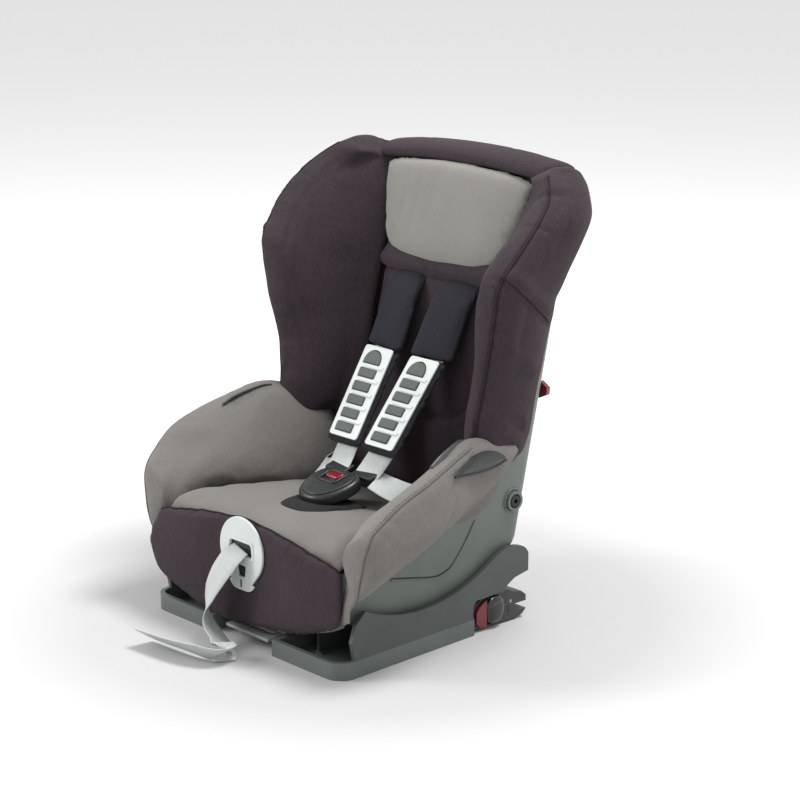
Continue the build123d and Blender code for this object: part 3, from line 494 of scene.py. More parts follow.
def ripple(obj, scale, height, seed, stretch=(1, 1, 1)):
    """Soft uneven swelling of the surface, from a few crossed sine waves."""
    points, normals = points_of(obj), points_of(obj, "normal")
    draw = np.random.default_rng(seed)
    total = np.zeros(len(points))
    for _ in range(7):
        direction = draw.normal(size=3) * np.array(stretch)
        direction /= np.linalg.norm(direction)
        wavelength = scale * draw.uniform(0.7, 1.6) * MM
        total += np.sin(points @ direction * 2 * math.pi / wavelength + draw.uniform(0, 6.3))
    set_points(obj, points + normals * (total / 7 * height * MM)[:, None])


def wrinkle(obj, line, reach, count, height, seed):
    """Gathers that run off a seam, dying away from it."""
    points, normals = points_of(obj), points_of(obj, "normal")
    distance, where = near_line(points / MM, spline(line, 40))
    draw = np.random.default_rng(seed)
    pattern = np.zeros(len(points))
    for _ in range(count):
        centre, spread = draw.uniform(0.03, 0.97), draw.uniform(0.006, 0.014)
        pattern += draw.uniform(0.5, 1.0) * np.exp(-((where - centre) / spread) ** 2)
    fade = np.exp(-((distance - reach * 0.35) / reach) ** 2)
    set_points(obj, points - normals * (pattern * fade * height * MM)[:, None])


# ---- Cloth ---------------------------------------------------------------------------------
inflating = []


def inflate(obj, cap, pressure=4.0, voxel=5.5, seams=()):
    """Queues a pad for one shared cloth simulation. Seam lines are held, so that it puffs between them."""
    remesh = obj.modifiers.new("remesh", "REMESH")
    remesh.mode = "VOXEL"
    remesh.voxel_size = voxel * MM
    bake_modifiers(obj)
    held = obj.vertex_groups.new(name="held")
    points = points_of(obj)
    for line, width in seams:
        distance, _ = near_line(points / MM, spline(line, 30))
        held.add([int(i) for i in np.nonzero(distance < width)[0]], 1.0, "REPLACE")
    inflating.append((obj, cap, points))
    cloth = obj.modifiers.new("cloth", "CLOTH")
    settings = cloth.settings
    settings.use_pressure = True
    settings.uniform_pressure_force = pressure
    settings.quality = 4
    settings.mass = 0.3
    settings.tension_stiffness = 12
    settings.compression_stiffness = 12
    settings.shear_stiffness = 6
    settings.bending_stiffness = 0.4
    settings.effector_weights.gravity = 0
    if seams:
        settings.vertex_group_mass = "held"
    cloth.collision_settings.use_collision = False
    cloth.collision_settings.use_self_collision = False
    cloth.point_cache.frame_end = 20


def run_cloth(frames=16):
    """Steps the simulation once for all queued pads, then applies it, with each point's travel capped."""
    for step in range(1, frames + 1):
        scene.frame_set(step)
    results = []
    depsgraph = bpy.context.evaluated_depsgraph_get()
    for obj, cap, start in inflating:
        results.append(points_of(obj.evaluated_get(depsgraph)))
    for (obj, cap, start), moved in zip(inflating, results):
        obj.modifiers.clear()
        travel = moved - start
        length = np.linalg.norm(travel, axis=1, keepdims=True)
        limit = cap * MM
        eased = limit * np.tanh(length / limit)
        set_points(obj, start + travel * eased / np.maximum(length, 1e-9))
    scene.frame_set(1)
    inflating.clear()


def soften(obj, times=2, factor=0.5):
    smooth = obj.modifiers.new("soften", "SMOOTH")
    smooth.iterations = times
    smooth.factor = factor
    bake_modifiers(obj)


def finish_pad(obj, material, replaced, slot=None):
    fine = obj.modifiers.new("fine", "SUBSURF")
    fine.levels = fine.render_levels = 1
    shade_smooth(obj.data)
    if replaced:
        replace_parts(obj, *replaced)
    finished(obj, material, slot)


def mirrored(line, side):
    """A line drawn for the left side, put on the given side."""
    return [(x * side, y, z) for x, y, z in line]


# ---- Covers: measures of the CAD, in millimetres -------------------------------------------
def along(table, t):
    return float(np.interp(t, [row[0] for row in table], [row[1] for row in table]))


def back_y(z):
    """The back of the shell."""
    return 123 + (z - 96) * 0.2


def rest_y(z):
    """The front of the back cushion."""
    return 62 + (min(z, 430) - 130) * 0.21 + max(0, z - 430) * 0.285


def wall_x(y, z):
    """The outside of the shell's side wall."""
    share = max(0, (z - 100) / 500)
    rear_x, flare_x, rear = 160 + 5 * share, 175 + 150 * share, back_y(z)
    return rear_x + (flare_x - rear_x) * (rear - y) / (rear + 240)


ARM_TOP = [(-214, 150), (-206, 172), (-186, 197), (-150, 226), (-107, 244), (-60, 259),
           (-10, 272), (20, 268), (60, 256), (100, 250)]
ARM_CREST = [(-214, 196), (-200, 208), (-186, 216), (-150, 224), (-107, 226), (-60, 218),
             (-10, 206), (40, 196), (100, 190)]
ARM_LOW = [(-214, 56), (-199, 64), (-186, 84), (-172, 96), (-131, 114), (-98, 129), (-57, 145),
           (-23, 163), (8, 178), (29, 190), (72, 227), (100, 250)]
WING_FRONT = [(240, 4), (285, 8), (330, 12), (376, 8), (426, 7), (463, 9), (498, 32),
              (530, 62), (560, 95), (584, 120), (604, 150)]
WING_OUT = [(240, 203), (285, 206), (330, 214), (376, 228), (426, 238), (463, 243), (498, 249),
            (530, 250), (560, 240), (580, 220), (594, 196), (604, 165)]
COVER_REAR = [(211, 104), (249, 122), (300, 133), (332, 141), (376, 154), (426, 170), (463, 190),
              (500, 206), (545, 213), (575, 207), (604, 196)]
SEAT_TOP = [(-206, 148), (-196, 158), (-170, 161), (-110, 157), (-40, 149), (30, 140), (70, 134)]
SEAT_SIDE = [(-210, 168), (-150, 158), (-60, 150), (30, 140), (70, 126)]


# ---- Arm covers ----------------------------------------------------------------------------
def arm_section(y):
    """The arm cover's section at y, on the left side: inside bottom, over the crest, outside hem."""
    top, low, crest = along(ARM_TOP, y), along(ARM_LOW, y), along(ARM_CREST, y)
    nose = max(0.0, (-186 - y) / 14)
    inside, seat = along(SEAT_SIDE, y) + 2 + nose * 15, along(SEAT_TOP, y) - 10
    drop = min(1.0, max(0.0, (-178 - y) / 18))
    seat += (low + 2 - seat) * drop
    hem = wall_x(y, low)
    rise = top - low
    return [
        (inside - 1, y, seat), (inside + 6, y, seat + (top - seat) * 0.42),
        (crest - 32, y, top - 22), (crest - 16, y, top - 6), (crest - 1, y, top),
        (crest + 11, y, top - 6), (crest + 16 - nose * 6, y, top - rise * 0.28),
        (crest + 12 - nose * 8, y, top - rise * 0.6), (hem + 15 - nose * 4, y, low + rise * 0.14),
        (hem + 9, y, low), (hem + 2, y, low + 2), (hem + 4, y, low + 18), (crest - 8, y, top - 36),
        (inside + 14, y, seat + 8)]


def make_arm(side_name):
    side = SIDES[side_name]
    ys = [-199, -186, -150, -107, -60, -10, 40, 78]
    sections = [arm_section(y) for y in ys]
    rails = [mirrored(rail, side) for rail in zip(*sections)]
    arm = pad_from_rails(f"visual_arm_pad_{side_name}", rails, 54, 5, dome=(5, 3))
    inner_seam = mirrored([(along(ARM_CREST, y) + 9, y, along(ARM_TOP, y) - 3)
                            for y in (-188, -150, -107, -60, -20)], side)
    front_seam = mirrored([(along(ARM_CREST, -188) + 9, -188, along(ARM_TOP, -188) - 3), (219, -194, 165),
                            (214, -197, 135), (206, -200, 100)], side)
    inflate(arm, 9, 4.0, 5.0, seams=[(inner_seam, 2.5), (front_seam, 2.5)])
    return arm, inner_seam, front_seam


# ---- Wings ---------------------------------------------------------------------------------
def wing_section(z):
    """The wing cover's section at height z, on the left side: inner face, front roll, outside, rear hem."""
    front, out = along(WING_FRONT, z), along(WING_OUT, z)
    root, rear = rest_y(z) + 6, min(back_y(z) - 1, along(COVER_REAR, z))
    side = wall_x(rear, z)
    bulge = float(np.interp(z, [426, 480, 530, 560, 590], [0, 0.45, 1, 0.65, -0.2]))
    flank = side + 12 + bulge * 28
    thick = float(np.interp(z, [240, 330, 430, 480], [36, 42, 54, 54]))
    return [
        (124, root + 8, z), (148, root - 12, z), (out - thick - 12, front + 34, z),
        (out - thick, front + 12, z), (out - thick + 14, front + 2, z), (out - 20, front, z),
        (out - 6, front + 12, z), (out, front + 36, z),
        ((out + flank) / 2 + 4 + bulge * 6, (front + rear) / 2 + 14, z), (flank, rear - 14, z),
        (side + 5 + bulge * 12, rear, z), (side - 4, rear - 8, z),
        (out - 36, front + 52, z), (146, root + 12, z)]


WING_ZS = [222, 250, 285, 330, 376, 426, 463, 498, 530, 556, 574, 585]


def wing_lines(side):
    """Seams of a wing: along the front roll, down the inner edge, and slanting over the outside."""
    zs = [240, 285, 330, 376, 426, 463, 498, 530, 560, 585]
    front = [(along(WING_OUT, z) - 13, along(WING_FRONT, z) + 3, z) for z in zs]
    inner = [(along(WING_OUT, z) - 52, along(WING_FRONT, z) + 16, z) for z in zs]
    slant = [(along(WING_OUT, 476) - 14, 6, 478), (243, 26, 461), (238, 56, 440), (226, 90, 418),
             (206, 124, 400)]
    return [mirrored(line, side) for line in (front, inner, slant)]


def make_wing(side_name):
    side = SIDES[side_name]
    sections = [wing_section(z) for z in WING_ZS]
    top = [np.array(p, float) for p in sections[-1]]
    middle = sum(top) / len(top)
    sections.append([tuple(middle + (p - middle) * 0.6 + (4, 2, 7)) for p in top])
    sections = [[(x, y, z - 20 * max(0, (z - 540) / 50) * min(1, max(0, (185 - x) / 60)))
                 for x, y, z in section] for section in sections]
    rails = [mirrored(rail, side) for rail in zip(*sections)]
    wing = pad_from_rails(f"visual_wing_pad_{side_name}", rails, 66, 5, dome=(3, 5))
    lines = wing_lines(side)
    inflate(wing, 9, 4.0, 4.5, seams=[(lines[0], 2.5), (lines[2], 2.5)])
    return wing, lines


# ---- Cushions given by an outline ----------------------------------------------------------
def cushion(name, outline, place, thickness, per_span=5, shells=9, sharp=2.6, back=0.0):
    """A pad whose edge follows an outline of (u, v) points. place(u, v, out) gives the point in
    space, out millimetres in front of its back."""
    ring = ring_spline(np.column_stack([outline, np.zeros(len(outline))]), per_span)[:, :2]
    middle = ring.mean(axis=0)
    rings = []
    for side_out in (back, thickness):
        shells_here = np.linspace(0.06, 1.0, shells)
        if side_out == thickness:
            shells_here = shells_here[::-1]
        for s in shells_here:
            share = (1 - s ** sharp) ** (1 / sharp) if s < 1 else 0.0
            depth = thickness * 0.42 + (side_out - thickness * 0.42) * share
            rings.append([place(*(middle + (p - middle) * s), depth) for p in ring])
    return loft(name, rings)


def face_of_back(u, v, out):
    return (u, rest_y(v) - out, v)


def make_back_pad():
    outline = [(-116, 150), (-121, 200), (-121, 300), (-119, 400), (-112, 436), (0, 440),
               (112, 436), (119, 400), (121, 300), (121, 200), (116, 150), (0, 142)]
    pad = cushion("visual_back_pad", outline, lambda u, v, out: (u, rest_y(v) + 17 - out, v), 19, 6, 9, 4)
    lobe = [(-96, 436), (-102, 380), (-100, 320), (-90, 276), (-66, 256), (0, 250), (66, 256), (90, 276),
            (100, 320), (102, 380), (96, 436)]
    lobe_seam = [face_of_back(u, v, 2) for u, v in lobe]
    inflate(pad, 9, 4.0, 5.0, seams=[(lobe_seam, 3.0)])
    return pad, lobe_seam


def make_head_pad():
    outline = [(-118, 421), (-130, 456), (-138, 540), (-130, 568), (0, 574), (130, 568), (138, 540),
               (130, 456), (118, 421), (0, 416)]
    pad = cushion("visual_head_pad", outline,
                  lambda u, v, out: (u, rest_y(v) + 22 - out - 12 * max(0, (460 - v) / 40), v), 22, 6, 9, 4)
    inflate(pad, 6, 4.0, 5.5)
    return pad


INSERT_OUTLINE = [(-66, 444), (-98, 452), (-119, 474), (-132, 510), (-139, 544), (-134, 567), (-62, 577),
                  (0, 579), (62, 577), (134, 567), (139, 544), (132, 510), (119, 474), (98, 452), (66, 444),
                  (0, 441)]


def insert_face(u, v, out):
    return (u, rest_y(v) + 3 - out + 5 * (abs(u) / 130) ** 2.5, v)


def make_head_insert():
    pad = cushion("visual_head_insert", INSERT_OUTLINE, insert_face, 16, 6, 14, 3.4)
    inflate(pad, 4, 3.5, 3.5)
    return pad


def make_top_roll():
    """The fat hem over the shell's top edge."""
    rails = []
    for u, v in ((160, 578), (163, 590), (175, 597), (194, 598), (212, 595), (225, 588), (229, 575),
                 (226, 560), (222, 550), (218, 554), (217, 570), (206, 579), (184, 577)):
        rail = []
        for x in (-152, -124, -84, -30, 30, 84, 124, 152):
            drop = (abs(x) / 138) ** 2.4 * 8
            rail.append((x, u, v - drop))
        rails.append(rail)
    roll = pad_from_rails("visual_top_roll", rails, 50, 5, dome=(6, 6))
    seams = []
    for x in (-96, 52, 104):
        seams.append([(x, 160, 580), (x + 1, 176, 596), (x + 3, 200, 597), (x + 4, 224, 587),
                      (x + 4, 228, 562)])
    inflate(roll, 6, 4.0, 5.0, seams=[(line, 2.5) for line in seams])
    return roll, seams


def make_seat_pad():
    rings = []
    for y in (-199, -192, -170, -140, -110, -60, -10, 30, 56):
        top = along(SEAT_TOP, y) - (5 if y < -195 else 0)
        half = along(SEAT_SIDE, y) - 1
        low = top - 26
        rings.append([(-half, y, low), (-half, y, top - 12), (-half + 9, y, top - 3), (-half + 34, y, top),
                      (-45, y, top - 1), (0, y, top - 2), (45, y, top - 1), (half - 34, y, top),
                      (half - 9, y, top - 3), (half, y, top - 12), (half, y, low), (0, y, low)])
    rails = [list(rail) for rail in zip(*rings)]
    pad = pad_from_rails("visual_seat_pad", rails, 46, 5, dome=(5, 3))
    inflate(pad, 6, 4.0, 5.5, seams=[([(-120, -196, 155), (0, -198, 158), (120, -196, 155)], 4.0)])
    return pad


PANEL_OUTLINE = [(-184, 142), (-137, 151), (-83, 160), (0, 168), (83, 160), (137, 151), (184, 142),
                 (190, 120), (191, 98), (189, 78), (181, 62), (143, 46), (96, 32), (58, 26), (-11, 18),
                 (-52, 16), (-93, 19), (-152, 32), (-192, 46), (-210, 72), (-211, 98), (-202, 122)]


def panel_face(u, v, out):
    return (u, -197 - out + 3 * (abs(u) / 196) ** 4, v)


def make_front_panel():
    panel = cushion("visual_front_panel", PANEL_OUTLINE, panel_face, 12, 5, 14, 3.4)
    inflate(panel, 3, 3.0, 4.5)
    return panel


# ---- Belts ---------------------------------------------------------------------------------
def belt(name, path, across, width, thickness=1.6, stations=60, bulge=0.25, floor=None):
    """A woven belt along a path. across gives its width direction, one for all or one per point.
    With a floor height, the belt rolls no further than keeps its lower edge above it."""
    line = spline(path, stations)
    many = across if np.ndim(across) == 2 else [across, across]
    sides = spline(many, stations)
    tangent = np.gradient(line, axis=0)
    tangent /= np.linalg.norm(tangent, axis=1, keepdims=True)
    sides = sides - tangent * (sides * tangent).sum(axis=1, keepdims=True)
    sides /= np.linalg.norm(sides, axis=1, keepdims=True)
    if floor is not None:
        room = np.clip((line[:, 2] - floor) / (width / 2), 0, 1)
        roll = np.clip(sides[:, 2], -room, room)
        flat = np.sqrt(1 - roll ** 2) / np.linalg.norm(sides[:, :2], axis=1)
        sides = np.column_stack([sides[:, :2] * flat[:, None], roll])
    up = np.cross(sides, tangent)
    half, t = width / 2, thickness / 2
    profile = [(-half, 0), (-half + 0.5, t), (-half + 1.9, t * 0.8), (-half * 0.5, t + bulge),
               (0, t + bulge * 1.2), (half * 0.5, t + bulge), (half - 1.9, t * 0.8), (half - 0.5, t),
               (half, 0), (half - 0.5, -t), (half * 0.5, -t), (0, -t), (-half * 0.5, -t), (-half + 0.5, -t)]
    rings = [[line[i] + sides[i] * a + up[i] * b for a, b in profile] for i in range(stations)]
    obj = loft(name, rings)
    steps = np.concatenate([[0], np.cumsum(np.linalg.norm(np.diff(line, axis=0), axis=1))]) * MM
    uv = obj.data.uv_layers.new(name="belt")
    k = len(profile)
    for loop in obj.data.loops:
        i = loop.vertex_index
        if i < stations * k:
            uv.data[loop.index].uv = (steps[i // k], profile[i % k][0] * MM)
    return obj


def worn_belt(name, node, *shape):
    """A belt of the harness, in place of the CAD one."""
    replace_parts(finished(belt(name, *shape), "webbing"), node)


def new_curve(name, dimensions, depth=0.0, resolution=0):
    curve = bpy.data.curves.new(name, "CURVE")
    curve.dimensions = dimensions
    curve.bevel_depth = depth
    curve.bevel_resolution = resolution
    return curve


def add_run(curve, points, kind="POLY"):
    run = curve.splines.new(kind)
    run.points.add(len(points) - 1)
    for target, p in zip(run.points, points):
        target.co = (*p, 1)
    return run


def thread(name, points, radius, material, slot):
    """A thin round bead along points."""
    curve = new_curve(name, "3D", radius * MM, 2)
    add_run(curve, [np.array(p) * MM for p in points]).use_smooth = True
    return finished(bake_curve(linked(name, curve)), material, slot)


def bake_curve(obj):
    """Swaps a curve object's data for its mesh."""
    mesh = bpy.data.meshes.new_from_object(obj.evaluated_get(bpy.context.evaluated_depsgraph_get()))
    name, links = obj.name, list(obj.users_collection)
    twin = bpy.data.objects.new(name + "_mesh", mesh)
    shade_smooth(mesh)
    for collection in links:
        collection.objects.link(twin)
    bpy.data.objects.remove(obj)
    twin.name = name
    return twin


# ---- Moulded plates ------------------------------------------------------------------------
SHARP_DEGREES = 40


def plate(name, outline, holes, thickness, edge, origin, u_dir, v_dir, material, slot=None, body="seat"):
    """A flat moulding with holes and rounded edges, from closed (u, v) outlines."""
    curve = new_curve(name, "2D", edge, 3)
    curve.fill_mode = "BOTH"
    curve.extrude = max(0.01, thickness / 2 - edge)
    curve.offset = -edge
    for ring in (outline, *holes):
        add_run(curve, [(u, v, 0) for u, v in ring]).use_cyclic_u = True
    obj = bake_curve(linked(name, curve))
    local = points_of(obj)
    u, v = np.array(u_dir, float), np.array(v_dir, float)
    u, v = u / np.linalg.norm(u), v / np.linalg.norm(v)
    w = np.cross(u, v)
    world = np.array(origin, float) + local[:, :1] * u + local[:, 1:2] * v + local[:, 2:] * w
    set_points(obj, world * MM)
    weld = obj.modifiers.new("weld", "WELD")
    weld.merge_threshold = 0.02 * MM
    bake_modifiers(obj)
    obj.data.set_sharp_from_angle(angle=math.radians(SHARP_DEGREES))
    return finished(obj, material, slot, body)


def arc_points(centre, radius, start, end, count):
    return [(centre[0] + radius * math.cos(math.radians(a)), centre[1] + radius * math.sin(math.radians(a)))
            for a in np.linspace(start, end, count)]


def rounded_ring(corners, radius, count=5):
    """A closed outline with each corner rounded."""
    ring = []
    n = len(corners)
    for i in range(n):
        before, here, after = (np.array(corners[(i + k) % n], float) for k in (-1, 0, 1))
        a, b = (before - here), (after - here)
        a, b = a / np.linalg.norm(a), b / np.linalg.norm(b)
        reach = min(radius, 0.45 * min(np.linalg.norm(before - here), np.linalg.norm(after - here)))
        for t in np.linspace(0, 1, count):
            p = (here + a * reach) * (1 - t) ** 2 + here * 2 * t * (1 - t) + (here + b * reach) * t ** 2
            ring.append(tuple(p))
    return ring


def rounded_box(name, centre, u_dir, v_dir, size, radius, material, slot=None):
    """A block with rounded corners and edges; size is along u, v and the normal."""
    a, b, c = size
    ring = rounded_ring([(-a / 2, -b / 2), (a / 2, -b / 2), (a / 2, b / 2), (-a / 2, b / 2)], radius)
    return plate(name, ring, [], c, min(radius * 0.7, c * 0.45), centre, u_dir, v_dir, material, slot)


# ---- Bezel on the front panel ---------------------------------------------------------------
def make_bezel():
    head = arc_points((0, 124), 43, -35, 215, 40)
    outline = head + rounded_ring([(-27, 82), (-16, 71), (16, 71), (27, 82)], 8)
    upper = rounded_ring([(-21, 135), (-23, 118), (23, 118), (21, 135)], 4)
    lower = rounded_ring([(-9, 104), (-6.5, 89), (6.5, 89), (9, 104)], 3)
    front = (1, 0, 0), (0, 0, 1)
    made = plate("visual_bezel", outline, [upper, lower], 4.0, 1.5, (0, -209.6, 0), *front, "white_plastic")
    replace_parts(made, "strap_bezel")
    plate("visual_bezel_rim", rounded_ring([(-25, 139), (-27, 114), (27, 114), (25, 139)], 5), [upper],
          2.6, 1.1, (0, -211.5, 0), *front, "white_plastic")
    # Painted shade: a dark bar laid on the white tab, standing in for the shaded opening of the slit.
    plate("visual_bezel_slit", rounded_ring([(-1.2, 86), (-1.2, 75), (1.2, 75), (1.2, 86)], 1), [],
          0.8, 0.3, (0, -211.7, 0), *front, "buckle_plastic", "white_plastic")
    plate("visual_bezel_dark", rounded_ring([(-30, 140), (-30, 84), (30, 84), (30, 140)], 4), [],
          0.8, 0.3, (0, -208.0, 0), *front, "black_plastic", "buckle_plastic")


# ---- Adjuster strap's loose end -------------------------------------------------------------
PULL_ROUTE = [(0.0, -0.211, 0.126), (-0.003, -0.222, 0.119), (-0.016, -0.231, 0.098),
              (-0.030, -0.237, 0.072), (-0.039, -0.240, 0.047), (-0.028, -0.241, 0.024),
              (0.002, -0.246, 0.011), (0.032, -0.262, 0.010), (0.038, -0.284, 0.013),
              (0.010, -0.297, 0.016), (-0.032, -0.303, 0.0155), (-0.080, -0.306, 0.0145)]
PULL_WIDTH = 38.0
PULL_ACROSS = [(1, 0, 0), (1, 0, 0), (1, -0.1, 0.1), (1, -0.3, 0.2), (0.8, -0.7, 0.1), (0.5, -0.9, 0.2),
               (0.3, -0.8, 0.3), (0.5, -0.6, 0.4), (0.4, -0.5, 0.6), (0, -0.7, 0.65), (0, -0.8, 0.6),
               (0, -0.8, 0.55)]


def nurbs_points(route, resolution=10):
    """The cord's own spline, as points."""
    curve = new_curve("pull_route", "3D")
    curve.resolution_u = resolution
    line = add_run(curve, route, "NURBS")
    line.order_u = 3
    line.use_endpoint_u = True
    holder = linked("pull_route", curve)
    mesh = bpy.data.meshes.new_from_object(holder.evaluated_get(bpy.context.evaluated_depsgraph_get()))
    points = [tuple(v.co) for v in mesh.vertices]
    bpy.data.objects.remove(holder)
    bpy.data.meshes.remove(mesh)
    return points


def make_pull_strap():
    points = nurbs_points(PULL_ROUTE)
    line = np.array(points) / MM
    spread = np.linspace(0, len(PULL_ACROSS) - 1, len(line))
    across = np.column_stack([np.interp(spread, range(len(PULL_ACROSS)), [a[k] for a in PULL_ACROSS])
                              for k in range(3)])
    strap = belt("visual_adjuster_strap", line, across, PULL_WIDTH, 1.6, len(line), 0.15, floor=1.5)
    paint(strap, "webbing", "webbing")
    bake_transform(strap)
    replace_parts(strap, "adjuster_strap")


# ---- Harness --------------------------------------------------------------------------------
SHOULDER_ROUTE = [(52, 204, 441), (51, 168, 438), (51, 142, 431), (50, 120, 418), (48, 103, 402),
                  (46, 91, 372), (44, 71, 330), (40, 41, 286), (36, 9, 240), (33, -3, 219), (30, -16, 202),
                  (28, -27, 190)]
LAP_ROUTE = [(150, 94, 163), (143, 76, 165), (118, 30, 166), (92, -4, 172), (68, -20, 181), (46, -27, 189)]
LAP_ACROSS = [(0, 0.6, 1), (0, 1, 0.9), (0.2, 1, 0.6), (0.3, 1, 0.5), (0.3, 1, 0.4), (0.2, 1, 0.3)]
SHOULDER_WIDTH, LAP_WIDTH, CROTCH_WIDTH, BELT_THICKNESS = 42, 34, 38, 1.6


def make_harness():
    for name, side in SIDES.items():
        worn_belt(f"visual_shoulder_strap_{name}", f"shoulder_strap_{name}", mirrored(SHOULDER_ROUTE, side),
                  (1, 0.1 * side, 0), SHOULDER_WIDTH, BELT_THICKNESS, 70)
        worn_belt(f"visual_lap_strap_{name}", f"lap_strap_{name}", mirrored(LAP_ROUTE, side),
                  mirrored(LAP_ACROSS, side), LAP_WIDTH, BELT_THICKNESS, 50)
    worn_belt("visual_crotch_strap", "crotch_strap",
              [(0, -58, 104), (0, -58, 135), (0, -58.4, 156), (0, -60, 174)],
              (1, 0, 0), CROTCH_WIDTH, BELT_THICKNESS, 24)


def chest_place(side):
    """Frame of a chest pad: origin at its bottom centre, u outwards, v up, w off the strap."""
    u = np.array([side * 1.0, 0, 0])
    v = np.array([side * 10, 80, 114], float)
    v /= np.linalg.norm(v)
    w = np.cross(u, v) * side
    return np.array([side * 34.5, -6.0, 215.5]), u, v, w


RUNG_COUNT, RUNG_PITCH, RUNG_START, RUNG_HEIGHT = 6, 19.6, 13.0, 13.0


def make_chest_pad(name):
    """A padded border, the white ladder moulding on it, and the rubber rungs in its windows."""
    side = SIDES[name]
    origin, u, v, w = chest_place(side)

    def place(a, b, out):
        return tuple(origin + u * a + v * b + w * out)

    outline = [(-31, -5), (-34.5, 6), (-34.5, 70), (-34.5, 134), (-30, 142), (0, 144), (30, 142),
               (34.5, 134), (34.5, 70), (34.5, 6), (31, -5), (0, -7)]
    pad = cushion(f"visual_chest_pad_{name}", outline,
                  lambda a, b, out: place(a, b, out + 2.5), 8.0, 5, 8, 5)
    inflate(pad, 1.5, 2.5, 3.5)

    across = u * side
    outer = rounded_ring([(-27, 6), (27, 6), (27, 137), (-27, 137)], 5)
    windows, rungs = [], []
    for k in range(RUNG_COUNT):
        low = RUNG_START + k * RUNG_PITCH
        ring = rounded_ring([(-20, low), (13, low), (13, low + RUNG_HEIGHT), (-20, low + RUNG_HEIGHT)], 2)
        if k == RUNG_COUNT - 1:
            ring = [(-20, low), (13, low)] + arc_points((-3.5, low + 4), 16.5, 0, 180, 14)
        windows.append(ring)
        bar = [((x + 3.5) * 0.94 - 3.5, low + 6.5 + (z - low - 6.5) * 0.9) for x, z in ring]
        rungs.append(plate(f"visual_chest_rung_{name}_{k}", bar, [], 4.2, 1.4, origin + w * 12.4, across, v,
                           "grip_rubber"))
    plate(f"visual_chest_ladder_{name}", outer, windows, 2.6, 1.0, origin + w * 12.0, across, v,
          "white_plastic")
    for k in range(RUNG_COUNT - 1):
        middle = RUNG_START + k * RUNG_PITCH + (RUNG_HEIGHT + RUNG_PITCH) / 2
        rounded_box(f"visual_chest_step_{name}_{k}", origin + across * 4 + v * middle + w * 13.4, across, v,
                    (38, 4.4, 2.0), 1.4, "white_plastic")
    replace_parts(rungs[0], "chest_grips")
    return pad


def make_sleeve(name):
    side = SIDES[name]
    path = [(44.8, 71, 333), (45.4, 80, 352), (46.8, 93, 380), (48.4, 105, 402), (50, 120, 418),
            (51, 142, 432)]
    line = spline(mirrored(path, side), 26)
    tangent = np.gradient(line, axis=0)
    tangent /= np.linalg.norm(tangent, axis=1, keepdims=True)
    rings = []
    for i, (p, t) in enumerate(zip(line, tangent)):
        across = np.array([1, 0.1 * side, 0])
        up = np.cross(across, t)
        flare = 1.04 + 0.08 * (1 - i / 25)
        rings.append([p + across * 37 * flare * math.cos(a) * (1 - 0.12 * math.cos(a) ** 8)
                      + up * (7.5 * math.sin(a) * (1.15 - 0.3 * math.cos(a) ** 2))
                      for a in np.linspace(0, 2 * math.pi, 28, endpoint=False)])
    sleeve = loft(f"visual_shoulder_sleeve_{name}", rings)
    inflate(sleeve, 3.5, 3.0, 4.0)
    return sleeve


BUCKLE_Y, BUCKLE_Z, BUCKLE_TILT = -68, 177, math.radians(17)


def buckle_point(a, b, out):
    """A point in the buckle's own frame: a across, b up the belt, out of its face."""
    rise, run = math.sin(BUCKLE_TILT), math.cos(BUCKLE_TILT)
    return (a, BUCKLE_Y + b * run - out * rise, BUCKLE_Z + b * rise + out * run)


def make_buckle():
    u, v = (1, 0, 0), np.subtract(buckle_point(0, 1, 0), buckle_point(0, 0, 0))
    shield = ring_spline([(-25, 34), (-38, 20), (-37, -6), (-23, -30), (0, -37), (23, -30), (37, -6),
                          (38, 20), (25, 34), (0, 36)], 6)
    inner = shield * 0.86
    rim = rounded_ring([(-18, -2), (18, -2), (18, 27), (-18, 27)], 7)
    well = rounded_ring([(-14.6, 2.2), (14.6, 2.2), (14.6, 22.6), (-14.6, 22.6)], 4)
    body = plate("visual_buckle_body", shield, [], 17, 5.5, buckle_point(0, 0, -0.5), u, v,
                 "buckle_plastic")
    plate("visual_buckle_face", inner, [well], 4, 1.6, buckle_point(0, 0, 8.0), u, v, "buckle_plastic")
    plate("visual_buckle_rim", rim, [well], 4, 1.2, buckle_point(0, 0, 10.0), u, v, "buckle_plastic")
    button = rounded_ring([(-12, 9.0), (12, 9.0), (14, 22.2), (-14, 22.2)], 4)
    red = plate("visual_buckle_button", button, [], 6, 1.8, buckle_point(0, 0, 9.2), u, v, "red_plastic",
                body="harness_button")
    for step in range(4):
        rounded_box(f"visual_buckle_rib_{step}", buckle_point(0, -8 - step * 5.2, 10.2), u, v,
                    (34 - step * 5, 1.8, 1.4), 0.8, "buckle_plastic")
    for name, side in SIDES.items():
        cover = rounded_box(f"visual_tongue_cover_{name}", buckle_point(side * 25, 45, 0.5), u, v,
                            (40, 20, 7), 3, "black_plastic", "buckle_plastic")
    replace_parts(body, "buckle_body")
    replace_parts(cover, "buckle_tongues")
    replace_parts(red, "buckle_button")


def make_crotch_pad():
    outline = [(-26, -134), (-38, -116), (-46, -92), (-52, -62), (-46, -34), (0, -28), (46, -34), (52, -62),
               (46, -92), (38, -116), (26, -134), (0, -140)]
    pad = cushion("visual_crotch_pad", outline,
                  lambda a, b, out: (a, b, along(SEAT_TOP, b) + out), 7, 5, 8, 4)
    inflate(pad, 3, 3.0, 4.0)
    return pad


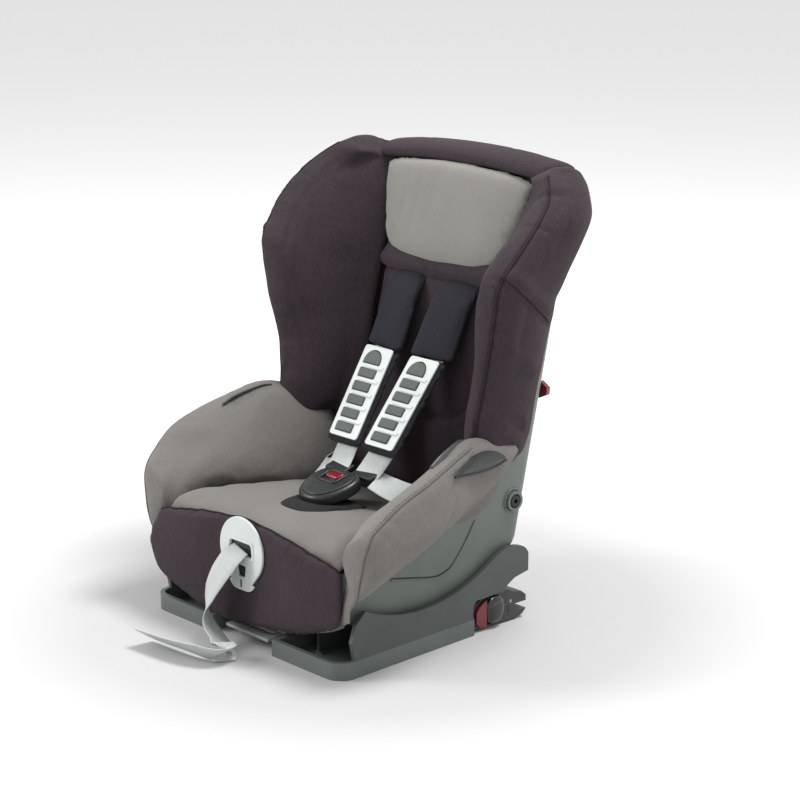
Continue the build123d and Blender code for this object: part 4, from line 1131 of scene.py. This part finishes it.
def seat_against(obj, centre, radius, face):
    """Presses a pad flat where a plate sits on it: no point near centre (x, z) is in front of face."""
    points = points_of(obj)
    away = np.hypot(points[:, 0] / MM - centre[0], (points[:, 2] / MM - centre[1]) * 0.9)
    limit = (face - 6 * np.clip((away - radius) / 45, 0, 1) - 40 * (away > radius + 45)) * MM
    points[:, 1] = np.where(points[:, 1] < limit, limit + (points[:, 1] - limit) * 0.12, points[:, 1])
    set_points(obj, points)


# ---- Assemble -------------------------------------------------------------------------------
WING_CREASES = [[(226, 34, 300), (214, 60, 282), (196, 92, 266)],
                [(222, 30, 268), (206, 56, 250), (188, 84, 240)],
                [(232, 26, 372), (222, 60, 352), (204, 96, 338)]]
arms = {name: make_arm(name) for name in SIDES}
wings = {name: make_wing(name) for name in SIDES}
back, back_seam = make_back_pad()
head = make_head_pad()
insert = make_head_insert()
roll, roll_seams = make_top_roll()
seat = make_seat_pad()
panel = make_front_panel()
crotch = make_crotch_pad()
sleeves = {name: make_sleeve(name) for name in SIDES}
chests = {name: make_chest_pad(name) for name in SIDES}
run_cloth()

for name in SIDES:
    arm, inner_seam, front_seam = arms[name]
    soften(arm, 2)
    press(arm, inner_seam, 2.6, 2.2)
    press(arm, front_seam, 2.6, 2.2)
    wrinkle(arm, inner_seam, 26, 13, 0.9, 5 + SIDES[name])
    ripple(arm, 90, 1.0, 11 + SIDES[name])
    ripple(arm, 30, 0.35, 15 + SIDES[name])
    finish_pad(arm, "grey_fabric", [f"arm_pad_{name}"])
    piping(f"visual_arm_piping_{name}", arm, inner_seam, 0.9, "thread_grey", "grey_fabric")
    piping(f"visual_arm_front_{name}", arm, front_seam, 0.9, "thread_grey", "grey_fabric", 40)
    stitches(f"visual_arm_stitches_{name}", arm, inner_seam, 3.6, "thread_grey", "grey_fabric")
    wing, (front, inner, slant) = wings[name]
    soften(wing, 2)
    press(wing, front, 3.2, 2.6)
    press(wing, inner, 5.0, 1.6)
    press(wing, slant, 4.5, 5.0)
    upper = [(x, y, z + 12) for x, y, z in slant]
    press(wing, upper, 10.0, -4.0)
    for fold in WING_CREASES:
        crease = mirrored(fold, SIDES[name])
        press(wing, crease, 6.0, 3.6)
        press(wing, [(x, y + 6, z + 11) for x, y, z in crease], 8.0, -2.2)
    wrinkle(wing, front, 20, 13, 2.0, 3 + SIDES[name])
    ripple(wing, 80, 2.0, 21 + SIDES[name])
    ripple(wing, 34, 0.5, 25 + SIDES[name])
    finish_pad(wing, "dark_fabric", [f"wing_pad_{name}"])
    piping(f"visual_wing_piping_{name}", wing, front, 1.1, "thread_dark", "dark_fabric")
    piping(f"visual_wing_slant_{name}", wing, slant, 0.8, "thread_dark", "dark_fabric", 40)
    stitches(f"visual_wing_stitches_{name}", wing, front, 4.0, "thread_dark", "dark_fabric")
soften(back, 2)
press(back, back_seam, 4.0, 4.0, both_ends=False)
ripple(back, 70, 1.0, 31)
finish_pad(back, "dark_fabric", ["back_pad"])
soften(head, 2)
finish_pad(head, "dark_fabric", ["head_pad"])
soften(insert, 8)
for fold, x in enumerate((-84, -58, -30, 8)):
    line = [(x, rest_y(570) - 14, 568), (x + 5, rest_y(520) - 14, 520), (x + 2, rest_y(470) - 14, 470)]
    press(insert, line, 6.0 + fold, 1.8 - 0.3 * fold, 0.3)
ripple(insert, 60, 0.9, 41, (1, 1, 0.2))
finish_pad(insert, "light_fabric", ["head_insert"])
soften(roll, 2)
for line in roll_seams:
    press(roll, line, 2.6, 2.0, both_ends=False)
finish_pad(roll, "dark_fabric", ["top_roll"])
soften(seat, 2)
ripple(seat, 90, 1.2, 51)
finish_pad(seat, "grey_fabric", ["seat_pad"])
soften(panel, 1)
ripple(panel, 90, 0.8, 61)
ripple(panel, 34, 0.35, 62)
seat_against(panel, (0, 112), 58, -207.0)
wrinkle(panel, [(u * 0.97, -204, v) for u, v in PANEL_OUTLINE[:7]], 14, 20, 1.2, 63)
finish_pad(panel, "dark_fabric", ["front_panel"])
top_edge = [(u * 0.985, -203, v - 3) for u, v in PANEL_OUTLINE[:7]]
piping("visual_panel_piping", panel, top_edge, 1.2, "thread_dark", "dark_fabric", 90)
stitches("visual_panel_stitches", panel, [(u, y, v - 1) for u, y, v in top_edge], 4.0,
         "thread_dark", "dark_fabric")
finish_pad(crotch, "pad_border", ["crotch_pad"])
for number, name in enumerate(SIDES):
    finish_pad(sleeves[name], "sleeve_fabric", ["shoulder_sleeves"] if number == 0 else [],
               "dark_fabric")
    finish_pad(chests[name], "pad_border", [f"chest_pad_{name}"])

for name in SIDES:
    for edge in (-1, 1):
        rim = [(SIDES[name] * (47 + edge * 32), rest_y(z) - 9, z) for z in (360, 390, 420, 436)]
        stitches(f"visual_sleeve_stitches_{name}_{'out' if edge > 0 else 'in'}", sleeves[name], rim, 0.0,
                 "thread_grey", "dark_fabric")
make_bezel()
make_pull_strap()
make_harness()
make_buckle()


# ---- Shell details --------------------------------------------------------------------------
HIP_Y, HIP_Z = 104, 162
GUIDE_RIM = [(-76, 0), (-60, 3), (-38, 4), (-18, 3), (-6, 0)]


def on_shell(y, z, out=0.0, side=LEFT):
    return (side * (wall_x(y, z) + out), y, z)


def make_shell_lines(name):
    """The groove along the shell's side, drawn as a ridge with a black bead of painted shade beside it, the
    ring round the hip bolt and the cover's elastic.
    """
    side = SIDES[name]
    line = [on_shell(y, z, 0.2, side) for y, z in
            ((-112, 105), (-71, 96), (-34, 89), (-14, 92), (-1, 100), (19, 127), (32, 150))]
    thread(f"visual_shell_line_{name}", spline(line, 60), 1.3, "shell_plastic", "shell_plastic")
    # Painted shade: a black bead along the ridge's upper side, for the shade in the groove.
    shadow = [(x, y, z + 1.9) for x, y, z in line]
    thread(f"visual_shell_groove_{name}", spline(shadow, 60), 0.8, "black_plastic", "shell_plastic")
    ring = [on_shell(HIP_Y + 15 * math.cos(a), HIP_Z + 15 * math.sin(a), 0.5, side)
            for a in np.linspace(0, 2 * math.pi, 40)]
    thread(f"visual_shell_cup_{name}", ring, 1.6, "shell_plastic", "shell_plastic")
    elastic = [on_shell(y, z, 6, side) for y, z in ((108, 246), (84, 222), (58, 202), (40, 190), (26, 184))]
    thread(f"visual_elastic_{name}", spline(elastic, 40), 1.4, "elastic", "dark_fabric")


def make_belt_guide(name):
    """The vehicle belt's guide: a shallow scoop outside the arm's crest, and its rim inside."""
    side = SIDES[name]
    ring = [(-66, 243), (-48, 250), (-26, 256), (0, 258), (26, 252), (44, 240), (20, 237), (-6, 237),
            (-36, 239)]

    def place(a, b, out):
        face = along(ARM_CREST, a) + 12 + (255 - b) * 0.16
        return (side * (face + out), a, b)

    scoop = cushion(f"visual_belt_guide_{name}", ring, place, 5, 5, 6, 3, back=-4)
    # Painted shade: the scoop belongs to the base plastic but is painted in the much darker buckle plastic,
    # holding down the key light on its upward face.
    finished(scoop, "buckle_plastic", "base_plastic")
    # Painted shade: a black bead along the scoop's lower edge, for the shadow under it.
    under = [place(a, b - 1, 3) for a, b in ((-66, 243), (-36, 239), (-6, 236), (20, 236), (44, 239))]
    thread(f"visual_guide_line_{name}", spline(under, 40), 1.3, "black_plastic", "base_plastic")
    rim = spline([(side * (along(ARM_CREST, y) - 14), y, along(ARM_TOP, y) - 6 + lift)
                  for y, lift in GUIDE_RIM], 30)
    fin = belt(f"visual_guide_rim_{name}", rim, (side * -0.55, 0, 0.8), 9, 2.6, 30)
    finished(fin, "base_plastic")
    return scoop


guides = {}
for name in SIDES:
    make_shell_lines(name)
    guides[name] = make_belt_guide(name)
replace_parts(guides["left"], "belt_guides")


def make_connector_cover(name):
    """The glossy dark window of the connector's lock indicator."""
    side = SIDES[name]
    low_box, high_box = (np.array(v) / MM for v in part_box(f"lock_indicator_{name}"))
    outer = max(abs(low_box[0]), abs(high_box[0]))
    ring = [(53, 18), (56, 9), (66, 6), (76, 9), (82, 18), (83, 30), (78, 40), (68, 44), (58, 41), (53, 33)]
    dome = cushion(f"visual_lock_window_{name}", ring,
                   lambda a, b, out: (side * (outer - 6 + out), a, b), 11, 5, 8, 2.2)
    finished(dome, "connector_plastic", body=f"connector_{name}")
    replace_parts(dome, f"lock_indicator_{name}")


for name in SIDES:
    make_connector_cover(name)


# ---- CAD pieces that show -------------------------------------------------------------------
FINISH = {
    "seat_shell": ("shell_plastic", 1.2), "back_ribs": ("shell_plastic", 1.0),
    "base_cheek_left": ("base_plastic", 3.5), "base_cheek_right": ("base_plastic", 3.5),
    "base_tray": ("tray_plastic", 2.4), "cross_members": ("base_plastic", 1.0),
    "recline_rails": ("base_plastic", 0.8), "arm_sleeves": ("base_plastic", 0.6),
    "lock_rack": ("steel", 0.2), "glide_shoes": ("black_plastic", 0.8),
    "hip_bolts": ("black_plastic", 0.4), "hip_cups": ("shell_plastic", 0.8),
    "recline_handle": ("handle_plastic", 0.8), "adjuster_housing": ("buckle_plastic", 0.4),
    "adjuster_lever": ("steel", 0.2), "adjuster_pin": ("steel", 0.1),
    "under_webbing": ("buckle_plastic", 0.1), "splitter_plate": ("steel", 0.3),
    "clamp_pins": ("steel", 0.2), "belt_clamp_left": ("red_plastic", 0.8),
    "belt_clamp_right": ("red_plastic", 0.8),
}
for name in SIDES:
    FINISH.update({
        f"anchor_arm_{name}": ("steel", 0.4), f"connector_housing_{name}": ("housing_plastic", 1.0),
        f"jaw_pin_{name}": ("steel", 0.1), f"lock_indicator_{name}": ("connector_plastic", 1.4),
        f"release_button_{name}": ("red_plastic", 1.4), f"connector_jaw_{name}": ("steel", 0.3)})
for node, (material, edge) in FINISH.items():
    obj = nodes[node]
    paint(obj, material)
    bevel = obj.modifiers.new("edges", "BEVEL")
    bevel.width = edge * MM
    bevel.segments = 3
    bevel.limit_method = "ANGLE"
    bevel.angle_limit = math.radians(35)
